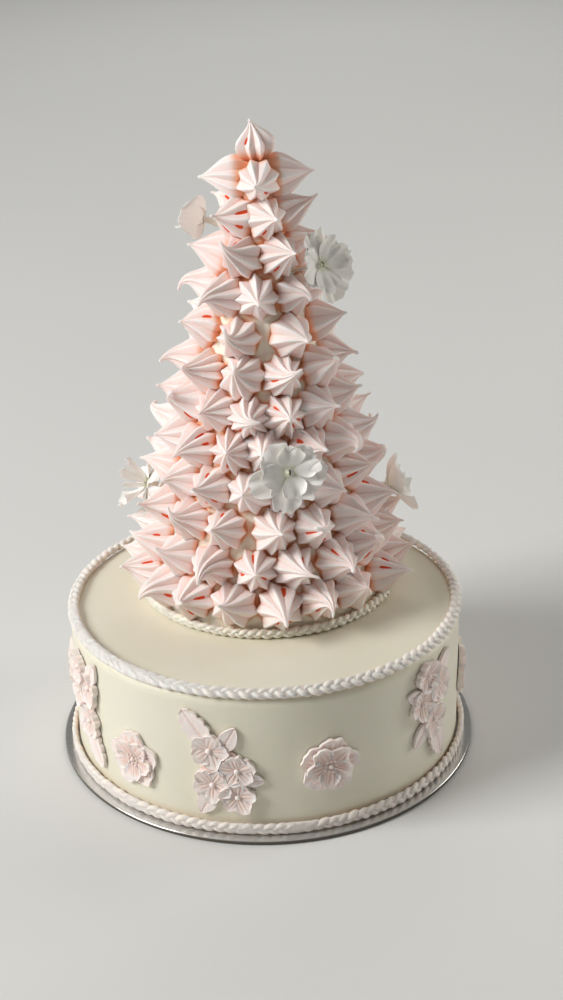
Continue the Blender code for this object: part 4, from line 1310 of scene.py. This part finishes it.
# For each braid: its piece and node; its icing; then radius, height, half width, half depth,
# lean in degrees, pitch of the stitches, least pressing, spans pressed harder, and centre.
BRAIDS = (
    ("edge_plait", "top_edge_braid", ("braid_icing", BRAID_PINK, BRAID_HOLLOW_SHADE),
     (EDGE_RADIUS, EDGE_HEIGHT, 4.2 * MM, 2.9 * MM, EDGE_LEAN, 7.0 * MM,
      0.15, ((-52, 34), (150, 30)))),
    ("foot_plait", "foot_braid", ("foot_braid_icing", FOOT_PINK, FOOT_HOLLOW_SHADE),
     (132.6 * MM, 7.0 * MM, 4.2 * MM, 2.4 * MM, 0, 7.0 * MM,
      0.4, ((-55, 22), (2, 12), (110, 30)))),
    ("tower_plait", "tower_foot_braid",
     ("ivory_braid_icing", BRAID_IVORY, BRAID_IVORY_HOLLOW_SHADE, 0.6),
     (83.9 * MM, 103.6 * MM, 3.3 * MM, 3.1 * MM, 0, 6.0 * MM,
      0.3, ((-60, 30), (120, 40)), TOWER_AXIS)),
)


def make_lumpy_icing(name, high, low, lumps=0.3):
    """Matt icing with painted shade, warmer in the hollows that the mark gives, and a little lumpy.
    """
    material, tree, shader, _skin = start_material(name, 0.55, 60.0, 800.0)
    # Painted shade: the hollow colour where the mark "proud" is low.
    colour = mixed(tree, reshaped(tree, read_mark(tree, "proud"), -0.2, 0.7), low, high)
    place = tree.nodes["Texture Coordinate"].outputs["Object"]
    lump = add_node(tree, "ShaderNodeTexNoise", {
        "Vector": place, "Scale": LUMP_SCALE, "Detail": 2.0})
    finish_material(tree, shader, colour, lump.outputs["Fac"], lumps, LUMP_DEPTH, BRAID_GLOW)
    return material


for name, node, icing, sizes in BRAIDS:
    add_piece(name, braid_shell(*sizes), make_lumpy_icing(*icing), [node])

# %% [markdown]
# ## Moulded flowers on the wall
#
# The wall carries sprigs and single blossoms of icing, pressed in moulds: petals with raised
# rims and uneven veins, leaves with a rib, a lobed one at the top, and beads in the middle. They
# are worked out flat, as across, up and depth, and then bent onto the round wall.

# %% Moulded petals
MOULDED_PETAL_ROWS = 11
MOULDED_PETAL_COLUMNS = 29


def relief(flat, depth, proud):
    """Closed piece from a flat back to a front that is raised by the depth."""
    front = np.concatenate([flat, depth[..., None]], -1)
    back = np.concatenate([flat, np.zeros_like(depth)[..., None]], -1)
    return slab(front, back, proud=proud)


def moulded_petal(middle, way, foot, reach, half_width, foot_depth, rim_depth, draw,
                  veins=4, parted=1.0):
    """A thick round petal on the wall, with a raised wavy rim and a few uneven veins.

    Along: foot + (reach - foot) t (1 - 0.45 |s|^2.4 t), less the rags at the rim.
    Depth: from the foot's to the rim's as t^0.8, plus waves that grow as t^2, plus a bead along
    the rim, less the veins. The sides fall away by |s|^6 where petals are parted.
    """
    t = np.linspace(0, 1, MOULDED_PETAL_ROWS)[:, None]
    s = np.linspace(-1, 1, MOULDED_PETAL_COLUMNS)[None, :]
    side = np.abs(s)
    phase = draw.uniform(0, 2 * np.pi, 4)
    rag = 0.05 * np.sin(4 * s + phase[0]) + 0.03 * np.sin(9 * s + phase[1])
    along = foot + (reach - foot) * t * (1 - 0.45 * side ** 2.4 * t + rag * t ** 2)
    across = s * half_width * (0.35 + 0.65 * np.sin(np.pi / 2 * np.minimum(t / 0.6, 1)))
    x, y = turned(along, across, way)
    flat = np.stack([middle[0] + x, middle[1] + y], -1)
    vein = np.zeros(x.shape)
    for place in np.linspace(-0.66, 0.66, veins):
        line = np.exp(-((s - place - draw.uniform(-0.1, 0.1)) / 0.075) ** 2)
        length = np.clip(t / draw.uniform(0.75, 1.0), 0.05, 1)
        line = line * np.sin(np.pi * length) ** 0.6
        vein = np.maximum(vein, draw.uniform(0.5, 1.0) * line)
    rim = np.maximum(side * np.minimum(1, 2 * t), t) ** 9
    fall = parted * side ** 6
    wave = (0.35 * np.sin(3 * s + phase[2]) + 0.25 * np.sin(7 * s + phase[3])) * t ** 2
    depth = (foot_depth + (rim_depth - foot_depth) * t ** 0.8
             + 0.5 * MM * (1 - s ** 2) * t * (1 - t)
             + MM * (0.7 * wave + 0.6 * rim - 0.6 * vein - 0.9 * fall * (1 - 0.5 * t)))
    # The mark "proud" drives painted shade: low in the veins and hollows, high on the raised rim.
    return relief(flat, depth, 0.2 + 0.4 * t + 0.5 * rim - 0.8 * vein - 0.3 * fall + 0.3 * wave)


print("a moulded petal has", 2 * MOULDED_PETAL_ROWS * MOULDED_PETAL_COLUMNS, "points")

# %% [markdown]
# A leaf is the same kind of relief along a straight line. The beads are turned pieces. Once a
# flower is put together flat, its points are moved onto the wall all at once.

# %% Moulded leaves and beads
ORNAMENT_BACK = 0.5 * MM
LEAF_ROWS = 25
LEAF_COLUMNS = 15
BEAD_COLUMNS = 10


def moulded_leaf(foot_across, foot_up, tip_across, tip_up, half_width, depth,
                 blunt=0.75, scallop=0.0):
    """A leaf: width as sin(pi t^0.85)^blunt, a sunken rib and slanting side veins.

    A scallop share above 0 gives it a lobed edge and a ruffled, raised rim.
    """
    t = np.linspace(0, 1, LEAF_ROWS)[:, None]
    s = np.linspace(-1, 1, LEAF_COLUMNS)[None, :]
    side = np.abs(s)
    foot = np.array([foot_across, foot_up])
    step = np.array([tip_across, tip_up]) - foot
    normal = np.array([-step[1], step[0]]) / np.hypot(*step)
    lobe = np.abs(np.sin(4.5 * np.pi * t))
    width = half_width * (0.06 + np.sin(np.pi * t ** 0.85) ** blunt) * (1 - scallop * (1 - lobe))
    flat = foot + t[..., None] * step + (s * width)[..., None] * normal
    slanting = 0.6 * np.abs(np.sin(8 * np.pi * (t - 0.25 * side))) ** 4
    vein = np.exp(-(s / 0.10) ** 2) + slanting
    rise = (depth * (0.75 + 0.25 * np.sin(np.pi * t)) - 0.45 * MM * vein
            + MM * (0.35 + 2 * scallop * lobe) * side ** 3)
    return relief(flat, rise, 0.7 - 0.5 * vein + 0.3 * side ** 3)


def bead(across, up, radius, base):
    """A round bead whose middle lies on a base depth."""
    turn = np.linspace(-np.pi / 2, np.pi / 2, 7)
    profile = np.stack([radius * np.cos(turn), base + radius * np.sin(turn)], -1)
    return turned_piece(profile, BEAD_COLUMNS, (across, up), proud=0.9)


def on_wall(shell, azimuth, height, turn):
    """Bend a flat piece onto the wall.

    The angle is the azimuth plus across / radius, and the reach is the radius plus the depth.
    """
    x, y, depth = shell["points"].T
    across, up = turned(x, y, math.radians(turn))
    angle = math.radians(azimuth) + across / CAKE_RADIUS
    shell["points"] = round_axis(angle, CAKE_RADIUS + ORNAMENT_BACK + depth, height * MM + up)
    return shell


print("a moulded leaf has", 2 * LEAF_ROWS * LEAF_COLUMNS, "points")

# %% [markdown]
# ## Sprigs and single blossoms
#
# A sprig gathers four small blossoms and four leaves on a thin base. A single blossom has two
# rings of petals, and a bead in the middle with a ring of tiny stamens round it.

# %% Put the moulded flowers on the wall
# The hollow colour is painted shade in the moulds' veins and hollows.
ORNAMENT_PINK = (0.95, 0.84, 0.80, 1.0)
ORNAMENT_HOLLOW_SHADE = (0.83, 0.57, 0.49, 1.0)
# For each ornament on the wall: azimuth in degrees, height in millimetres, turn in degrees.
SPRIGS = ((-13, 50, 0), (52, 62, 165), (118, 52, 20), (178, 56, 190), (-122, 50, 10),
          (-64, 58, 175))
BLOSSOMS = ((16.5, 48, 10), (86, 46, 40), (148, 50, -20), (-152, 47, 30), (-94, 49, 0),
            (-40.5, 40, 25))
SPRIG_SEED = 200
BLOSSOM_ON_WALL_SEED = 300
# Profile of a sprig's base; blossoms as across, up and reach; leaves as foot, tip and half width.
SPRIG_BASE = ((0, 0.0), (13.5, 0.0), (14.0, 0.8), (12.0, 1.5), (0, 1.5))
SPRIG_BLOSSOMS = ((-7.5, 11.5, 13.0), (9.5, -1.5, 12.5), (-6.0, -13.0, 13.0), (9.5, -20.5, 12.0))
SPRIG_LEAVES = ((-8.0, 16.0, -24.0, 38.0, 8.0), (0.0, 12.0, 9.0, 29.0, 5.5),
                (-6.0, -18.0, -14.0, -35.0, 6.0), (12.0, -6.0, 26.0, -9.0, 4.5))
LEAF_DEPTH = 1.9 * MM
# For each ring of a single blossom: its turn in petals; foot, reach, half width, foot depth and
# rim depth in millimetres; the least share of the reach, the veins, and how far petals part.
PETAL_RINGS = ((0.0, (4, 20, 9.4, 1.0, 1.8), 0.92, 5, 1.0),
               (0.5, (1, 15.5, 6.7, 1.5, 3.4), 0.94, 7, 0.0))
PETALS = 5
PETAL_SLIP = 0.08
STAMENS = 9


def petal_way(place, draw, start=0.0):
    """Direction of a petal, an even share of the turn with a small slip."""
    return 2 * math.pi * place / PETALS + start + draw.uniform(-PETAL_SLIP, PETAL_SLIP)


def sprig_shell(draw):
    """Leaves, a base and four blossoms, worked out flat; the first leaf is the lobed one."""
    shells = [turned_piece(in_mm(SPRIG_BASE), 32, (1 * MM, -4 * MM), 1.25, proud=0.0)]
    for number, leaf in enumerate(SPRIG_LEAVES):
        blunt, scallop = (0.5, 0.22) if number == 0 else (0.75, 0.0)
        shells.append(moulded_leaf(*(value * MM for value in leaf), LEAF_DEPTH, blunt, scallop))
    for number, (across, up, reach) in enumerate(SPRIG_BLOSSOMS):
        middle = (across * MM, up * MM)
        for petal in range(PETALS):
            way = petal_way(petal, draw, 0.5 * number)
            depth = (2.7 + 0.5 * (petal % 2) + 0.2 * number) * MM
            shells.append(moulded_petal(middle, way, 0.6 * MM, reach * MM * draw.uniform(0.88, 1.0),
                                        0.50 * reach * MM, 1.3 * MM, depth, draw))
        shells.append(bead(*middle, 1.8 * MM, 2.0 * MM))
    return put_together(shells)


def single_shell(draw):
    """Two rings of petals with beads in the middle, worked out flat."""
    shells = []
    for start, sizes, least, veins, parted in PETAL_RINGS:
        foot, reach, half_width, foot_depth, rim_depth = (size * MM for size in sizes)
        for petal in range(PETALS):
            way = petal_way(petal + start, draw)
            depth = rim_depth + 0.3 * (petal % 2) * MM
            shells.append(moulded_petal((0, 0), way, foot, reach * draw.uniform(least, 1.0),
                                        half_width, foot_depth, depth, draw, veins, parted))
    shells.append(bead(0, 0, 1.4 * MM, 2.6 * MM))
    for stamen in range(STAMENS):
        angle = 2 * math.pi * stamen / STAMENS
        reach = (3.4 + 0.9 * (stamen % 2)) * MM
        shells.append(bead(reach * math.cos(angle), reach * math.sin(angle), 0.7 * MM, 2.7 * MM))
    return put_together(shells)


ornament = make_lumpy_icing("ornament_icing", ORNAMENT_PINK, ORNAMENT_HOLLOW_SHADE)
for kind, places, make_shell, seed in (("sprig", SPRIGS, sprig_shell, SPRIG_SEED),
                                       ("blossom", BLOSSOMS, single_shell, BLOSSOM_ON_WALL_SEED)):
    for number, place in enumerate(places, start=1):
        shell = on_wall(make_shell(np.random.default_rng(seed + number)), *place)
        add_piece(f"moulded_{kind}_{number}", shell, ornament, [f"pink_{kind}_{number}"],
                  crease=50)

# %% [markdown]
# ## Floor and light
#
# The cake stands on a plain pale floor that fills the picture. It only has to take the cake's
# shadow, so it is one large square with a tone that hardly drifts, and it is declared as stage.

# %% Lay the floor
FLOOR_HALF = 6.0
FLOOR_GREY = (0.73, 0.73, 0.718, 1.0)
FLOOR_PALE = (0.75, 0.75, 0.735, 1.0)


def add_floor():
    """A wide flat floor just under the board."""
    mesh = bpy.data.meshes.new("floor")
    corners = [(-1, -1), (1, -1), (1, 1), (-1, 1)]
    mesh.from_pydata([(x * FLOOR_HALF, y * FLOOR_HALF, -GAP) for x, y in corners],
                     [], [(0, 1, 2, 3)])
    material = bpy.data.materials.new("pale_floor")
    material.use_nodes = True
    tree = material.node_tree
    shader = tree.nodes["Principled BSDF"]
    place = add_node(tree, "ShaderNodeTexCoord").outputs["Object"]
    noise = add_node(tree, "ShaderNodeTexNoise", {"Vector": place, "Scale": 3.0, "Detail": 2.0})
    colour = mixed(tree, noise.outputs["Fac"], FLOOR_GREY, FLOOR_PALE)
    tree.links.new(colour, shader.inputs["Base Color"])
    shader.inputs["Roughness"].default_value = 0.7
    mesh.materials.append(material)
    floor = bpy.data.objects.new("floor", mesh)
    bpy.context.scene.collection.objects.link(floor)
    floor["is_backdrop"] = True


add_floor()
print("floor laid:", 2 * FLOOR_HALF, "m wide")

# %% [markdown]
# One large soft lamp stands to the left, so the right side falls into a gentle shade. A low lamp
# on the right and a high one behind draw a soft rim on the shaded side and light the floor at
# the back. A weak one overhead and a grey sky fill the rest. The lamps behind and overhead don't
# show in the foil, which mirrors the sky, the floor and the cake.

# %% Light the scene
SKY_COLOUR = (1.0, 0.985, 0.94, 1.0)
SKY_STRENGTH = 0.15
# For each lamp: name, place, the point it is turned to, size, watts, colour, seen in reflections.
LAMPS = (
    ("left_softbox", (-2.52, -0.82, 1.94), (0, 0, 0.15), 1.35, 90.0, (1.0, 0.995, 0.98), True),
    ("right_rim", (2.15, 0.7, 0.65), (0, 0, 0.15), 0.9, 19.0, (1.0, 0.97, 0.92), True),
    ("back_softbox", (0.3, 3.0, 2.0), (0, 0.9, 0.0), 2.0, 23.0, (1.0, 0.995, 0.97), False),
    ("top_softbox", (0, 0, 2.6), (0, 0, 0), 2.0, 5.0, (1.0, 0.995, 0.98), False),
)


def add_lamp(name, place, aim, size, power, colour, mirrored):
    """A square area lamp at a place, turned towards a point, with or without its reflection."""
    lamp = bpy.data.lights.new(name, "AREA")
    lamp.size = size
    lamp.energy = power
    lamp.color = colour
    holder = bpy.data.objects.new(name, lamp)
    holder.location = place
    holder.rotation_euler = (Vector(aim) - Vector(place)).to_track_quat("-Z", "Y").to_euler()
    holder.visible_glossy = mirrored
    bpy.context.scene.collection.objects.link(holder)


for lamp in LAMPS:
    add_lamp(*lamp)
world = bpy.data.worlds.new("studio")
world.use_nodes = True
sky = world.node_tree.nodes["Background"]
sky.inputs["Color"].default_value = SKY_COLOUR
sky.inputs["Strength"].default_value = SKY_STRENGTH
bpy.context.scene.world = world
bpy.context.scene.view_settings.view_transform = "Standard"
print("lamps in place:", len(LAMPS))

# %% [markdown]
# ## Sizes
#
# The dressed cake is meant to be as large as the imported one, so the growth of its box over
# the imported one's is printed for each side.

# %% Compare the sizes
low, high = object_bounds()
ends = zip([*low, *high], [*cad_low, *cad_high])
print("growth in mm:", [round((shown - packed) / MM, 2) for shown, packed in ends])
